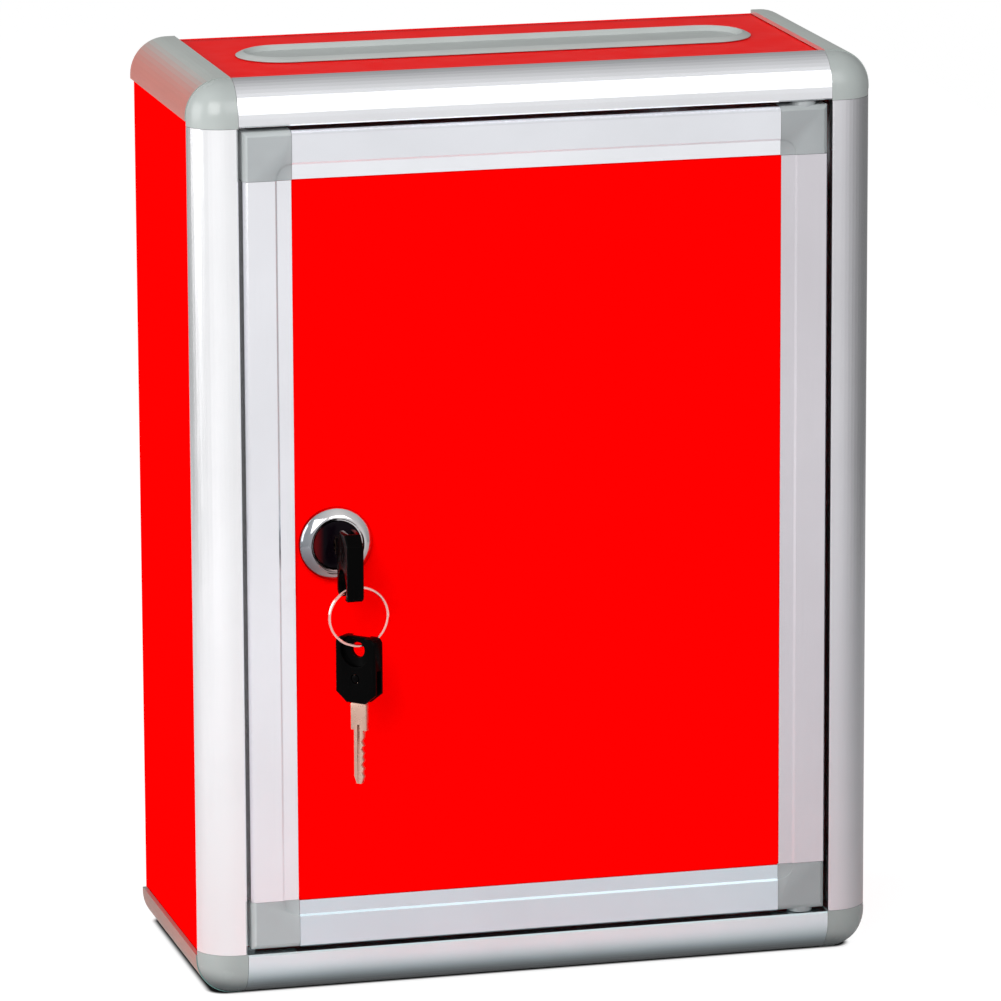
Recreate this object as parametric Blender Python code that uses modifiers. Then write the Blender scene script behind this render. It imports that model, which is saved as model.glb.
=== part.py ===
"""Suggestion box: a wall or table box of red panels in aluminium edge profiles, with a lockable door.

Metres, +Z up. The door faces -Y and the posting slot is in the top. Every piece is placed in the box's
own frame: X from the middle to the right, Y from the front plane into the box, Z up from the underside.
The empty box_frame carries that frame, so that the world origin lies under the middle of the bounding box.
"""

import math

import bmesh
import bpy
from mathutils import Matrix, Vector

# Overall size of the carcass
WIDTH = 0.225
HEIGHT = 0.2994
DEPTH = 0.0955

# Clearances and the overrun of every cut
SEAT_GAP = 0.0003
DOOR_GAP = 0.0016
CUT_OVERRUN = 0.002

# Edge profiles: the round edge, the faces that show, the wall and the panel groove
EDGE_RADIUS = 0.0120
SIDE_FACE = 0.0149
TOP_FACE = 0.0147
BOTTOM_FACE = 0.0147
SIDE_WRAP = 0.0095
TOP_WRAP = 0.0100
DEPTH_TOP_WRAP = 0.0149
DEPTH_SIDE_WRAP = 0.0133
LIP = 0.0013
PROFILE_WALL = 0.0012
CORE = 0.0104
WRAP_CORE = 0.0073
CHAMBER_WIDTH = 0.0032
LEG_SHORTFALL = 0.0006
GAP_CHAMFER = 0.0005
CAM_CLEARANCE = 0.0010
STOP_FIN = 0.0046
SPIGOT_LENGTH = 0.014
SPIGOT_ROOT = 0.003
EDGE_STEPS = 12
CORNER_STEPS = 10

# Panels
PANEL_THICKNESS = 0.003
BACK_THICKNESS = 0.0012
BACK_INSET = 0.0015

# Hanging keyholes in the back panel
KEYHOLE_FROM_SIDE = 0.0425
KEYHOLE_FROM_TOP = 0.050
KEYHOLE_HEAD_RADIUS = 0.0045
KEYHOLE_NECK_WIDTH = 0.0050
KEYHOLE_TRAVEL = 0.009

# Back screws and the port that they run in
PORT_PLACE = 0.0082
PORT_RADIUS = 0.0016
SCREW_HEAD_RADIUS = 0.0025
SCREW_HEAD_HEIGHT = 0.0009
SCREW_LENGTH = 0.012
SCREW_SINK = 0.0001
SCREW_STEPS = 16

# Posting slot and its trim
TRIM_FROM_SIDE = 0.0265
TRIM_FROM_FRONT = 0.0398
TRIM_FROM_REAR = 0.0232
TRIM_EDGE_BEVEL = 0.0006
DISH_BORDER = 0.0030
DISH_DEPTH = 0.0016
TUB_BORDER = 0.0018
TUB_FLOOR = 0.0013
SLOT_FROM_END = 0.0160
SLOT_FROM_FRONT = 0.0046
SLOT_WIDTH = 0.0050
COLLAR_WALL = 0.0010
COLLAR_REACH = 0.003
TRIM_STEPS = 16

# Door: stiles and rails
DOOR_THICKNESS = 0.010
STILE_FACE = 0.0155
STILE_FRONT_CHAMFER = 0.0014
STILE_REAR_CHAMFER = 0.0010
STEP_START = 0.0102
STEP_RUN = 0.0007
STEP_DROP = 0.0005
STILE_GROOVE = 0.0113
DOOR_LIP = 0.0008
STILE_WALL = 0.0013
REAR_LIP_SHORTFALL = 0.0014
DOOR_SPIGOT_LENGTH = 0.012
ARC_STEPS = 32

# Door pivots
PIVOT_FROM_EDGE = 0.0070
BOSS_RADIUS = 0.0041
PIN_RADIUS = 0.0015
PIN_IN_DOOR = 0.0080
PIN_IN_FRAME = 0.0034
PIN_STEPS = 16

# Lock: bezel, barrel and nut
LOCK_FROM_DOOR_EDGE = 0.0289
LOCK_HEIGHT = 0.149
BEZEL_RADIUS = 0.0120
BEZEL_PROUD = 0.0040
BEZEL_EDGE = 0.0007
BEZEL_TOP_RADIUS = 0.0096
BEZEL_LAND_RADIUS = 0.0089
BARREL_RADIUS = 0.0095
PLUG_RADIUS = 0.0077
PLUG_RECESS = 0.0006
PLUG_WEB = 0.0040
NUT_ACROSS_FLATS = 0.024
NUT_THICKNESS = 0.004
LOCK_STEPS = 40

# Cam and its screw
CAM_THICKNESS = 0.0016
CAM_HALF_WIDTH = 0.007
CAM_REACH = 0.036
CAM_SQUARE = 0.007
CAM_SCREW_HEAD_RADIUS = 0.006
CAM_SCREW_HEAD_HEIGHT = 0.0022
CAM_SCREW_RADIUS = 0.0017
CAM_SCREW_ENGAGE = 0.0030

# Folding keys: blade
BLADE_THICKNESS = 0.0018
TANG_RADIUS = 0.0026
SHANK_START = 0.0086
SHANK_HALF_WIDTH = 0.0028
SHOULDER = 0.0172
BLADE_INSERT = 0.0176
BLADE_BACK = 0.0017
BLADE_EDGE = 0.0016
NOTCH_DEPTH_SHARES = (0.45, 0.60, 0.30, 0.55, 0.35)
NOTCH_START_SHARE = 0.14
NOTCH_PITCH_SHARE = 0.145
BLADE_TIP_SHARE = 0.14

# Folding keys: moulded head and rivet
HEAD_WIDTH = 0.0146
HEAD_THICKNESS = 0.0054
HEAD_ABOVE_PIVOT = 0.0080
HEAD_BELOW_PIVOT = 0.0134
HEAD_CORNER_RADIUS = 0.0022
HEAD_END_HALF_WIDTH = 0.0034
HEAD_TAPER = 0.0032
HEAD_EDGE_BEVEL = 0.0004
RING_HOLE_FROM_PIVOT = 0.0092
RING_HOLE_RADIUS = 0.0025
RING_RECESS_RADIUS = 0.0054
RING_WEB = 0.0016
RIVET_RADIUS = 0.00125
HOLE_STEPS = 20

# Key ring and how the spare key hangs on it
RING_RADIUS = 0.0095
RING_WIRE_RADIUS = 0.00065
RING_SIDE_SHIFT = 0.0026
RING_SLACK = 0.0003
RING_POINTS = 40
SPARE_KEY_DROP = 0.0011
SPARE_KEY_YAW_DEG = -45.0

# Places worked out from the sizes above
GROOVE_WIDTH = PANEL_THICKNESS + 2 * SEAT_GAP
GROOVE_INNER = LIP + GROOVE_WIDTH
LEG_INNER = GROOVE_INNER + PROFILE_WALL
PANEL_INSET = LIP + SEAT_GAP
BACK_PLANE = DEPTH - BACK_THICKNESS - SEAT_GAP
TRIM_LENGTH = WIDTH - 2 * TRIM_FROM_SIDE
TRIM_WIDTH = DEPTH - TRIM_FROM_FRONT - TRIM_FROM_REAR
TRIM_CENTRE_Y = TRIM_FROM_FRONT + TRIM_WIDTH / 2
SLOT_LENGTH = TRIM_LENGTH - 2 * SLOT_FROM_END
SLOT_CENTRE_Y = TRIM_FROM_FRONT + SLOT_FROM_FRONT + SLOT_WIDTH / 2
DOOR_SIDE = WIDTH / 2 - SIDE_FACE - DOOR_GAP
DOOR_TOP = HEIGHT - TOP_FACE - DOOR_GAP
DOOR_BOTTOM = BOTTOM_FACE + DOOR_GAP
DOOR_PANEL_FACE = STEP_DROP + DOOR_LIP + SEAT_GAP
PIVOT_X = DOOR_SIDE - PIVOT_FROM_EDGE
PIVOT_Y = DOOR_THICKNESS / 2
LOCK_X = LOCK_FROM_DOOR_EDGE - DOOR_SIDE
BEZEL_FRONT = DOOR_PANEL_FACE - BEZEL_PROUD
PLUG_FACE = BEZEL_FRONT + PLUG_RECESS
PLUG_REAR = PLUG_FACE + BLADE_INSERT + SEAT_GAP + PLUG_WEB
JAMB_DEPTH = PLUG_REAR + SEAT_GAP - CAM_CLEARANCE
KEY_PIVOT_Y = PLUG_FACE - SEAT_GAP - SHOULDER
FRONT_REACH = HEAD_WIDTH / 2 - KEY_PIVOT_Y
RING_HOLE_Z = LOCK_HEIGHT - RING_HOLE_FROM_PIVOT
RING_TOP_Z = RING_HOLE_Z - (RING_HOLE_RADIUS - RING_WIRE_RADIUS - SEAT_GAP - RING_SLACK)
RING_X = LOCK_X + RING_SIDE_SHIFT
RING_CENTRE_Z = RING_TOP_Z - math.sqrt(RING_RADIUS**2 - RING_SIDE_SHIFT**2)
RING_BOTTOM_Z = RING_CENTRE_Z - RING_RADIUS
SPARE_HOLE_Z = RING_BOTTOM_Z - SPARE_KEY_DROP

# A flat outline's own X and Y lie along the named plane's axes, and its thickness along the third
PLANE_TURNS = {
    "XY": (0.0, 0.0, 0.0),
    "XZ": (math.pi / 2, 0.0, 0.0),
    "YZ": (math.pi / 2, 0.0, math.pi / 2),
}
FACING_FRONT = (math.pi / 2, 0.0, 0.0)
FLAT_ANGLE = math.radians(0.5)

parts = None
cutters = None


def start_scene():
    """Clears the scene and makes the collections for the parts and for the cutters."""
    global parts, cutters
    for old in list(bpy.data.objects):
        bpy.data.objects.remove(old)
    parts = bpy.data.collections.new("suggestion_box")
    cutters = bpy.data.collections.new("cutters")
    bpy.context.scene.collection.children.link(parts)
    bpy.context.scene.collection.children.link(cutters)


def finish(name, colour, metallic, roughness):
    """A Principled material with a colour, a metallic value and a roughness."""
    material = bpy.data.materials.new(name)
    material.use_nodes = True
    shader = material.node_tree.nodes["Principled BSDF"]
    shader.inputs["Base Color"].default_value = (*colour, 1.0)
    shader.inputs["Metallic"].default_value = metallic
    shader.inputs["Roughness"].default_value = roughness
    material.diffuse_color = (*colour, 1.0)
    return material


def anchor(name, place, parent=None):
    """An empty at a place of the box's frame, under another empty or as the frame itself."""
    empty = bpy.data.objects.new(name, None)
    parts.objects.link(empty)
    empty["place"] = place
    if parent is not None:
        empty.parent = parent
        empty.location = Vector(place) - Vector(parent["place"])
    return empty


def settle(piece, place, carrier, material=None, turn=(0.0, 0.0, 0.0)):
    """Puts a piece in its collection at a place of the box's frame, carried by an empty."""
    helper = material is None
    (cutters if helper else parts).objects.link(piece)
    piece.parent = carrier
    piece.location = Vector(place) - Vector(carrier["place"])
    piece.rotation_euler = turn
    if helper:
        piece.hide_render = True
        piece.display_type = "WIRE"
    else:
        piece.data.materials.append(material)
    return piece


def change(piece, operation, helper):
    """Cuts a helper's shape from a piece, or joins it on."""
    step = piece.modifiers.new(helper.name, "BOOLEAN")
    step.operation = operation
    step.solver = "EXACT"
    step.object = helper


def arc(centre_x, centre_y, radius, start_deg, end_deg, steps):
    """Points along an arc, both ends included."""
    points = []
    for step in range(steps + 1):
        angle = math.radians(start_deg + (end_deg - start_deg) * step / steps)
        points.append((centre_x + radius * math.cos(angle), centre_y + radius * math.sin(angle)))
    return points


def circle(centre_x, centre_y, radius, steps):
    """Points round a circle, each once."""
    return arc(centre_x, centre_y, radius, 0, 360, steps)[:-1]


def oblong(length, width, steps):
    """A slot shape along X with round ends, about its middle."""
    radius = width / 2
    straight = length / 2 - radius
    return arc(straight, 0, radius, -90, 90, steps) + arc(-straight, 0, radius, 90, 270, steps)


def flipped(loops, first_sign, second_sign):
    """The same loops with either axis turned round."""
    return [[(first_sign * first, second_sign * second) for first, second in loop] for loop in loops]


def swapped(loops):
    """The same loops with the two axes changed over."""
    return [[(second, first) for first, second in loop] for loop in loops]


def outline_curve(name, loops, thickness):
    """A filled flat outline with holes, as a 2D curve extruded both ways from its middle."""
    curve = bpy.data.curves.new(name, "CURVE")
    curve.dimensions = "2D"
    curve.fill_mode = "BOTH"
    curve.extrude = thickness / 2
    for loop in loops:
        spline = curve.splines.new("POLY")
        spline.points.add(len(loop) - 1)
        for point, (first, second) in zip(spline.points, loop):
            point.co = (first, second, 0, 1)
        spline.use_cyclic_u = True
    return bpy.data.objects.new(name, curve)


def outline_solid(name, loops, thickness):
    """The same outline as a closed mesh, which can be cut, joined and bevelled."""
    drawn = outline_curve(name, loops, thickness)
    cutters.objects.link(drawn)
    graph = bpy.context.evaluated_depsgraph_get()
    mesh = bpy.data.meshes.new_from_object(drawn.evaluated_get(graph))
    shape = bmesh.new()
    shape.from_mesh(mesh)
    bmesh.ops.remove_doubles(shape, verts=shape.verts, dist=SEAT_GAP / 100)
    bmesh.ops.dissolve_limit(shape, angle_limit=FLAT_ANGLE, verts=shape.verts, edges=shape.edges)
    shape.to_mesh(mesh)
    shape.free()
    bpy.data.objects.remove(drawn)
    return bpy.data.objects.new(name, mesh)


def box_shape(low, high):
    """A box between two corners, as editable geometry."""
    low = Vector(low)
    high = Vector(high)
    size = high - low
    shape = bmesh.new()
    place = Matrix.Translation((low + high) / 2) @ Matrix.Diagonal((*size, 1.0))
    bmesh.ops.create_cube(shape, size=1.0, matrix=place)
    return shape


def as_object(name, shape):
    """A mesh object from editable geometry, which is freed."""
    mesh = bpy.data.meshes.new(name)
    shape.to_mesh(mesh)
    shape.free()
    return bpy.data.objects.new(name, mesh)


def box(name, low, high):
    """A plain box between two corners of its own frame."""
    return as_object(name, box_shape(low, high))


def rod(name, radius, low, high, steps):
    """A cylinder along its own Z, from a low to a high end."""
    shape = bmesh.new()
    place = Matrix.Translation((0, 0, (low + high) / 2))
    bmesh.ops.create_cone(
        shape,
        cap_ends=True,
        segments=steps,
        radius1=radius,
        radius2=radius,
        depth=high - low,
        matrix=place,
    )
    return as_object(name, shape)


def turned(name, profile, steps, closed=False):
    """A turned piece about its own Z. The profile runs down its outer side, as radius and height."""
    count = len(profile)
    edges = [(index, index + 1) for index in range(count - 1)]
    if closed:
        edges.append((count - 1, 0))
    mesh = bpy.data.meshes.new(name)
    mesh.from_pydata([(radius, 0, height) for radius, height in profile], edges, [])
    piece = bpy.data.objects.new(name, mesh)
    turn = piece.modifiers.new("turn", "SCREW")
    turn.steps = steps
    turn.render_steps = steps
    turn.use_merge_vertices = True
    turn.merge_threshold = SEAT_GAP / 100
    return piece


def smooth(piece, angle_deg=35):
    """Shades the round faces of a mesh smooth and keeps its edges sharp."""
    piece.data.shade_smooth()
    piece.data.set_sharp_from_angle(angle=math.radians(angle_deg))


def bevel_edges(shape, chosen, width, steps):
    """Rounds or chamfers the edges whose two ends both pass a test of their place."""
    edges = [edge for edge in shape.edges if all(chosen(end.co) for end in edge.verts)]
    bmesh.ops.bevel(shape, geom=edges, offset=width, segments=steps, profile=0.5, affect="EDGES")


def cut_behind(shape, depth):
    """Cuts geometry off square at a depth along Y and closes the cut."""
    everything = list(shape.verts) + list(shape.edges) + list(shape.faces)
    bmesh.ops.bisect_plane(
        shape,
        geom=everything,
        plane_co=(0, depth, 0),
        plane_no=(0, 1, 0),
        clear_outer=True,
    )
    rim = [edge for edge in shape.edges if edge.is_boundary]
    bmesh.ops.contextual_create(shape, geom=rim)


def mirror_shape(shape, first_sign, second_sign):
    """Turns geometry round along X and Z, and keeps its faces pointing out."""
    bmesh.ops.scale(shape, vec=(first_sign, 1, second_sign), verts=shape.verts)
    if first_sign * second_sign < 0:
        bmesh.ops.reverse_faces(shape, faces=shape.faces)


def round_edge(first_wrap, second_wrap):
    """The round outer edge of a section, ended early where a wrap is shorter than the radius."""
    first_short = max(0.0, EDGE_RADIUS - first_wrap)
    second_short = max(0.0, EDGE_RADIUS - second_wrap)
    start = 180 + math.degrees(math.asin(second_short / EDGE_RADIUS))
    end = 270 - math.degrees(math.asin(first_short / EDGE_RADIUS))
    return arc(EDGE_RADIUS, EDGE_RADIUS, EDGE_RADIUS, start, end, EDGE_STEPS)


def chamber(first_core, second_core, shrink=0.0):
    """The hollow of an edge profile: a band along the round edge, cut square at both ends.

    shrink draws every side in, for the spigot that slides into the hollow."""
    outer = EDGE_RADIUS - PROFILE_WALL - shrink
    inner = EDGE_RADIUS - PROFILE_WALL - CHAMBER_WIDTH + shrink
    first_off = EDGE_RADIUS - (first_core - PROFILE_WALL - shrink)
    second_off = EDGE_RADIUS - (second_core - PROFILE_WALL - shrink)
    middle = (EDGE_RADIUS, EDGE_RADIUS)
    out_start = 180 + math.degrees(math.asin(second_off / outer))
    out_end = 270 - math.degrees(math.asin(first_off / outer))
    in_start = 270 - math.degrees(math.asin(first_off / inner))
    in_end = 180 + math.degrees(math.asin(second_off / inner))
    rise = arc(*middle, outer, out_start, out_end, EDGE_STEPS // 2)
    fall = arc(*middle, inner, in_start, in_end, EDGE_STEPS // 2)
    return rise + fall


def groove_side(core, wrap):
    """The end of a section at a panel groove: inner leg, groove and outer lip, from inside outwards."""
    leg = wrap - LEG_SHORTFALL
    outline = [(LEG_INNER, core), (LEG_INNER, leg), (GROOVE_INNER, leg), (GROOVE_INNER, core)]
    outline += [(LIP, core), (LIP, wrap)]
    if wrap > EDGE_RADIUS:
        outline += [(0.0, wrap)]
    return outline


def depth_section():
    """Section of the profiles that run to the wall: across the side, and down from the top."""
    outline = round_edge(DEPTH_TOP_WRAP, DEPTH_SIDE_WRAP)
    outline += [(second, first) for first, second in reversed(groove_side(CORE, DEPTH_TOP_WRAP))]
    outline += [(CORE, CORE)]
    outline += groove_side(CORE, DEPTH_SIDE_WRAP)
    port = circle(PORT_PLACE, PORT_PLACE, PORT_RADIUS, SCREW_STEPS)
    return [outline, chamber(CORE, CORE), port]


def front_section(face, wrap, stop_fin=0.0):
    """Section of the profiles round the door: across the face, and back from the front plane."""
    inner_face = face - PROFILE_WALL
    outline = round_edge(face, wrap)
    outline += [(face - GAP_CHAMFER, 0.0), (face, GAP_CHAMFER)]
    if stop_fin:
        stop = DOOR_THICKNESS + SEAT_GAP
        outline += [(face, stop), (face + stop_fin, stop)]
        outline += [(face + stop_fin, stop + PROFILE_WALL), (face, stop + PROFILE_WALL)]
    outline += [(face, JAMB_DEPTH), (inner_face, JAMB_DEPTH), (inner_face, PROFILE_WALL)]
    outline += [(CORE, PROFILE_WALL), (CORE, WRAP_CORE)]
    outline += groove_side(WRAP_CORE, wrap)
    return [outline, chamber(CORE, WRAP_CORE)]


def front_profiles(box_frame, metal):
    """The four profiles round the door opening."""
    low = BOTTOM_FACE + SEAT_GAP
    high = HEIGHT - TOP_FACE - SEAT_GAP
    for name, side, fin in (("left", -1, STOP_FIN), ("right", 1, 0.0)):
        loops = flipped(front_section(SIDE_FACE, SIDE_WRAP, fin), -side, 1)
        piece = outline_curve(f"front_profile_{name}", loops, high - low)
        settle(piece, (side * WIDTH / 2, 0, (low + high) / 2), box_frame, metal, PLANE_TURNS["XY"])
    span = WIDTH - 2 * (SIDE_FACE + SEAT_GAP)
    for name, end, face in (("top", 1, TOP_FACE), ("bottom", -1, BOTTOM_FACE)):
        loops = swapped(flipped(front_section(face, TOP_WRAP), -end, 1))
        piece = outline_solid(f"front_profile_{name}", loops, span)
        outer = HEIGHT if end > 0 else 0.0
        settle(piece, (0, 0, outer), box_frame, metal, PLANE_TURNS["YZ"])
        smooth(piece)
        reach = rod(f"pivot_hole_{name}", PIN_RADIUS + SEAT_GAP, -face - CUT_OVERRUN, -CORE, PIN_STEPS)
        turn = (0.0, 0.0, 0.0) if end > 0 else (math.pi, 0.0, 0.0)
        settle(reach, (PIVOT_X, PIVOT_Y, outer), box_frame, turn=turn)
        change(piece, "DIFFERENCE", reach)


def depth_profiles(box_frame, metal):
    """The four profiles that run from the front corners to the back panel."""
    front = SIDE_WRAP + SEAT_GAP
    for end_name, end in (("top", 1), ("bottom", -1)):
        for side_name, side in (("left", -1), ("right", 1)):
            loops = flipped(depth_section(), -side, -end)
            piece = outline_curve(f"depth_profile_{end_name}_{side_name}", loops, BACK_PLANE - front)
            outer = HEIGHT if end > 0 else 0.0
            place = (side * WIDTH / 2, (front + BACK_PLANE) / 2, outer)
            settle(piece, place, box_frame, metal, PLANE_TURNS["XZ"])


def corner(name, side, end, box_frame, plastic):
    """A moulded three-way corner: rounded outside, with a spigot into each of its three profiles."""
    face = TOP_FACE if end > 0 else BOTTOM_FACE
    outer = (side * WIDTH / 2, 0.0, HEIGHT if end > 0 else 0.0)
    shape = box_shape((0, 0, 0), (SIDE_FACE, EDGE_RADIUS + PROFILE_WALL, face))
    near = SEAT_GAP / 10
    on_edge = lambda p: sum(abs(value) < near for value in p) > 1
    bevel_edges(shape, on_edge, EDGE_RADIUS, CORNER_STEPS)
    cut_behind(shape, SIDE_WRAP)
    mirror_shape(shape, -side, -end)
    piece = settle(as_object(name, shape), outer, box_frame, plastic)
    smooth(piece)

    pockets = {
        "side_pocket": ((LIP, WRAP_CORE, CORE), (SIDE_FACE, SIDE_WRAP, face)),
        "top_pocket": ((CORE, WRAP_CORE, LIP), (SIDE_FACE, SIDE_WRAP, face)),
    }
    for label, (low, high) in pockets.items():
        beyond = tuple(value + CUT_OVERRUN for value in high)
        pocket = box_shape(low, beyond)
        mirror_shape(pocket, -side, -end)
        cutter = settle(as_object(f"{name}_{label}", pocket), outer, box_frame)
        change(piece, "DIFFERENCE", cutter)

    into_depth = flipped([chamber(CORE, CORE, SEAT_GAP)], -side, -end)
    into_side = flipped([chamber(CORE, WRAP_CORE, SEAT_GAP)], -side, 1)
    into_top = swapped(flipped([chamber(CORE, WRAP_CORE, SEAT_GAP)], -end, 1))
    spigots = (
        ("depth", into_depth, "XZ", 1, SIDE_WRAP, 1),
        ("side", into_side, "XY", 2, face, -end),
        ("top", into_top, "YZ", 0, SIDE_FACE, -side),
    )
    for label, loops, plane, axis, start, sign in spigots:
        length = SPIGOT_LENGTH + SPIGOT_ROOT
        spigot = outline_solid(f"{name}_{label}_spigot", loops, length)
        place = list(outer)
        place[axis] += sign * (start - SPIGOT_ROOT + length / 2)
        settle(spigot, place, box_frame, turn=PLANE_TURNS[plane])
        change(piece, "UNION", spigot)


def corners(box_frame, plastic):
    """The four front corners of the carcass."""
    for end_name, end in (("top", 1), ("bottom", -1)):
        for side_name, side in (("left", -1), ("right", 1)):
            corner(f"corner_{end_name}_{side_name}", side, end, box_frame, plastic)


def carcass_panels(box_frame, red):
    """The side, top and bottom panels, which slide in the profiles' grooves."""
    edge = CORE + SEAT_GAP
    front = WRAP_CORE + SEAT_GAP
    for name, side in (("left", -1), ("right", 1)):
        outer = side * (WIDTH / 2 - PANEL_INSET)
        inner = outer - side * PANEL_THICKNESS
        low = (min(outer, inner), front, edge)
        high = (max(outer, inner), BACK_PLANE, HEIGHT - edge)
        settle(box(f"side_panel_{name}", low, high), (0, 0, 0), box_frame, red)
    half = WIDTH / 2 - edge
    top_low = HEIGHT - PANEL_INSET - PANEL_THICKNESS
    top = box("top_panel", (-half, front, top_low), (half, BACK_PLANE, HEIGHT - PANEL_INSET))
    settle(top, (0, 0, 0), box_frame, red)
    loop = trim_loop(TUB_BORDER - SEAT_GAP)
    cutter = outline_solid("trim_hole", [loop], PANEL_THICKNESS + 2 * CUT_OVERRUN)
    settle(cutter, (0, TRIM_CENTRE_Y, top_low + PANEL_THICKNESS / 2), box_frame)
    change(top, "DIFFERENCE", cutter)
    bottom_high = PANEL_INSET + PANEL_THICKNESS
    bottom = box("bottom_panel", (-half, front, PANEL_INSET), (half, BACK_PLANE, bottom_high))
    settle(bottom, (0, 0, 0), box_frame, red)


def trim_loop(border):
    """The trim's oblong outline about its own middle, drawn in by a border."""
    return oblong(TRIM_LENGTH - 2 * border, TRIM_WIDTH - 2 * border, TRIM_STEPS)


def slot_trim(box_frame, plastic):
    """The oval moulding in the top: a rim level with the frame, a dish in it, and the slot's collar.

    The slot lies close behind the front rim, so that the rim hides it from the front."""
    thickness = PANEL_INSET - SEAT_GAP
    trim = outline_solid("slot_trim", [trim_loop(0.0)], thickness)
    settle(trim, (0, TRIM_CENTRE_Y, HEIGHT - thickness / 2), box_frame, plastic)
    easing = trim.modifiers.new("eased_edge", "BEVEL")
    easing.width = TRIM_EDGE_BEVEL
    easing.segments = 2
    easing.limit_method = "ANGLE"

    under = thickness / 2
    tub_depth = DISH_DEPTH + TUB_FLOOR
    collar_depth = PANEL_INSET + PANEL_THICKNESS + COLLAR_REACH
    collar_loop = oblong(SLOT_LENGTH + 2 * COLLAR_WALL, SLOT_WIDTH + 2 * COLLAR_WALL, TRIM_STEPS)
    slot_loop = oblong(SLOT_LENGTH, SLOT_WIDTH, TRIM_STEPS)
    steps = (
        ("tub", "UNION", trim_loop(TUB_BORDER), TRIM_CENTRE_Y, under, tub_depth),
        ("collar", "UNION", collar_loop, SLOT_CENTRE_Y, tub_depth - TUB_FLOOR / 2, collar_depth),
        ("dish", "DIFFERENCE", trim_loop(DISH_BORDER), TRIM_CENTRE_Y, -CUT_OVERRUN, DISH_DEPTH),
        ("slot", "DIFFERENCE", slot_loop, SLOT_CENTRE_Y, -CUT_OVERRUN, collar_depth + CUT_OVERRUN),
    )
    for label, operation, loop, centre_y, top, bottom in steps:
        helper = outline_solid(f"trim_{label}", [loop], bottom - top)
        settle(helper, (0, centre_y, HEIGHT - (top + bottom) / 2), box_frame)
        change(trim, operation, helper)


def keyhole():
    """A keyhole about its round hole for a wall screw's head, with a narrower slot above it."""
    half = KEYHOLE_NECK_WIDTH / 2
    meet = math.degrees(math.asin(half / KEYHOLE_HEAD_RADIUS))
    head = arc(0, 0, KEYHOLE_HEAD_RADIUS, 90 - meet, meet - 270, HOLE_STEPS)
    return head + arc(0, KEYHOLE_TRAVEL, half, 180, 0, HOLE_STEPS // 2)


def port_places():
    """The places of the four screw ports across the back."""
    across = WIDTH / 2 - PORT_PLACE
    return [(side * across, up) for up in (HEIGHT - PORT_PLACE, PORT_PLACE) for side in (-1, 1)]


def back_panel(box_frame, red, steel):
    """The sheet that closes the back, with two hanging keyholes, and the four screws that hold it."""
    half = WIDTH / 2 - BACK_INSET
    radius = EDGE_RADIUS - BACK_INSET
    low = BACK_INSET + radius
    high = HEIGHT - BACK_INSET - radius
    edge = half - radius
    outline = arc(edge, high, radius, 0, 90, EDGE_STEPS) + arc(-edge, high, radius, 90, 180, EDGE_STEPS)
    outline += arc(-edge, low, radius, 180, 270, EDGE_STEPS) + arc(edge, low, radius, 270, 360, EDGE_STEPS)
    spot = WIDTH / 2 - KEYHOLE_FROM_SIDE
    sheet = outline_solid("back_panel", [outline], BACK_THICKNESS)
    middle_y = DEPTH - BACK_THICKNESS / 2
    settle(sheet, (0, middle_y, 0), box_frame, red, PLANE_TURNS["XZ"])
    for name, side in (("left", -1), ("right", 1)):
        hole = outline_solid(f"keyhole_{name}", [keyhole()], BACK_THICKNESS + 2 * CUT_OVERRUN)
        place = (side * spot, middle_y, HEIGHT - KEYHOLE_FROM_TOP)
        settle(hole, place, box_frame, turn=PLANE_TURNS["XZ"])
        change(sheet, "DIFFERENCE", hole)
    shank = PORT_RADIUS - SEAT_GAP
    rear = -DEPTH
    for number, (across, up) in enumerate(port_places(), 1):
        wide = SCREW_HEAD_RADIUS + SEAT_GAP
        narrow = PORT_RADIUS
        sink = [
            (0.0, rear + BACK_THICKNESS + CUT_OVERRUN),
            (narrow, rear + BACK_THICKNESS + CUT_OVERRUN),
            (narrow, rear + SCREW_HEAD_HEIGHT + SCREW_SINK),
            (wide, rear + SCREW_SINK),
            (wide, rear - CUT_OVERRUN),
            (0.0, rear - CUT_OVERRUN),
        ]
        cutter = turned(f"countersink_{number}", sink, SCREW_STEPS)
        settle(cutter, (across, 0, up), box_frame, turn=FACING_FRONT)
        change(sheet, "DIFFERENCE", cutter)
        profile = [
            (0.0, rear + SCREW_LENGTH),
            (shank, rear + SCREW_LENGTH),
            (shank, rear + SCREW_HEAD_HEIGHT + SCREW_SINK),
            (SCREW_HEAD_RADIUS, rear + SCREW_SINK),
            (0.0, rear + SCREW_SINK),
        ]
        screw = turned(f"back_screw_{number}", profile, SCREW_STEPS)
        settle(screw, (across, 0, up), box_frame, steel, FACING_FRONT)


def stile_section():
    """Section of the door's stiles and rails: in from the outer edge, and back from the front plane."""
    step_end = STEP_START + STEP_RUN
    lip_back = STEP_DROP + DOOR_LIP
    groove_back = lip_back + GROOVE_WIDTH
    outline = [
        (0.0, STILE_FRONT_CHAMFER),
        (STILE_FRONT_CHAMFER, 0.0),
        (STEP_START, 0.0),
        (step_end, STEP_DROP),
        (STILE_FACE, STEP_DROP),
        (STILE_FACE, lip_back),
        (STILE_GROOVE, lip_back),
        (STILE_GROOVE, groove_back),
        (STILE_FACE - REAR_LIP_SHORTFALL, groove_back),
        (STILE_FACE - REAR_LIP_SHORTFALL, groove_back + PROFILE_WALL),
        (STILE_GROOVE, groove_back + PROFILE_WALL),
        (STILE_GROOVE, DOOR_THICKNESS),
        (STILE_REAR_CHAMFER, DOOR_THICKNESS),
        (0.0, DOOR_THICKNESS - STILE_REAR_CHAMFER),
    ]
    near = STILE_WALL
    far = STILE_GROOVE - STILE_WALL
    back = DOOR_THICKNESS - STILE_WALL
    return [outline, [(near, near), (far, near), (far, back), (near, back)]]


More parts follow.
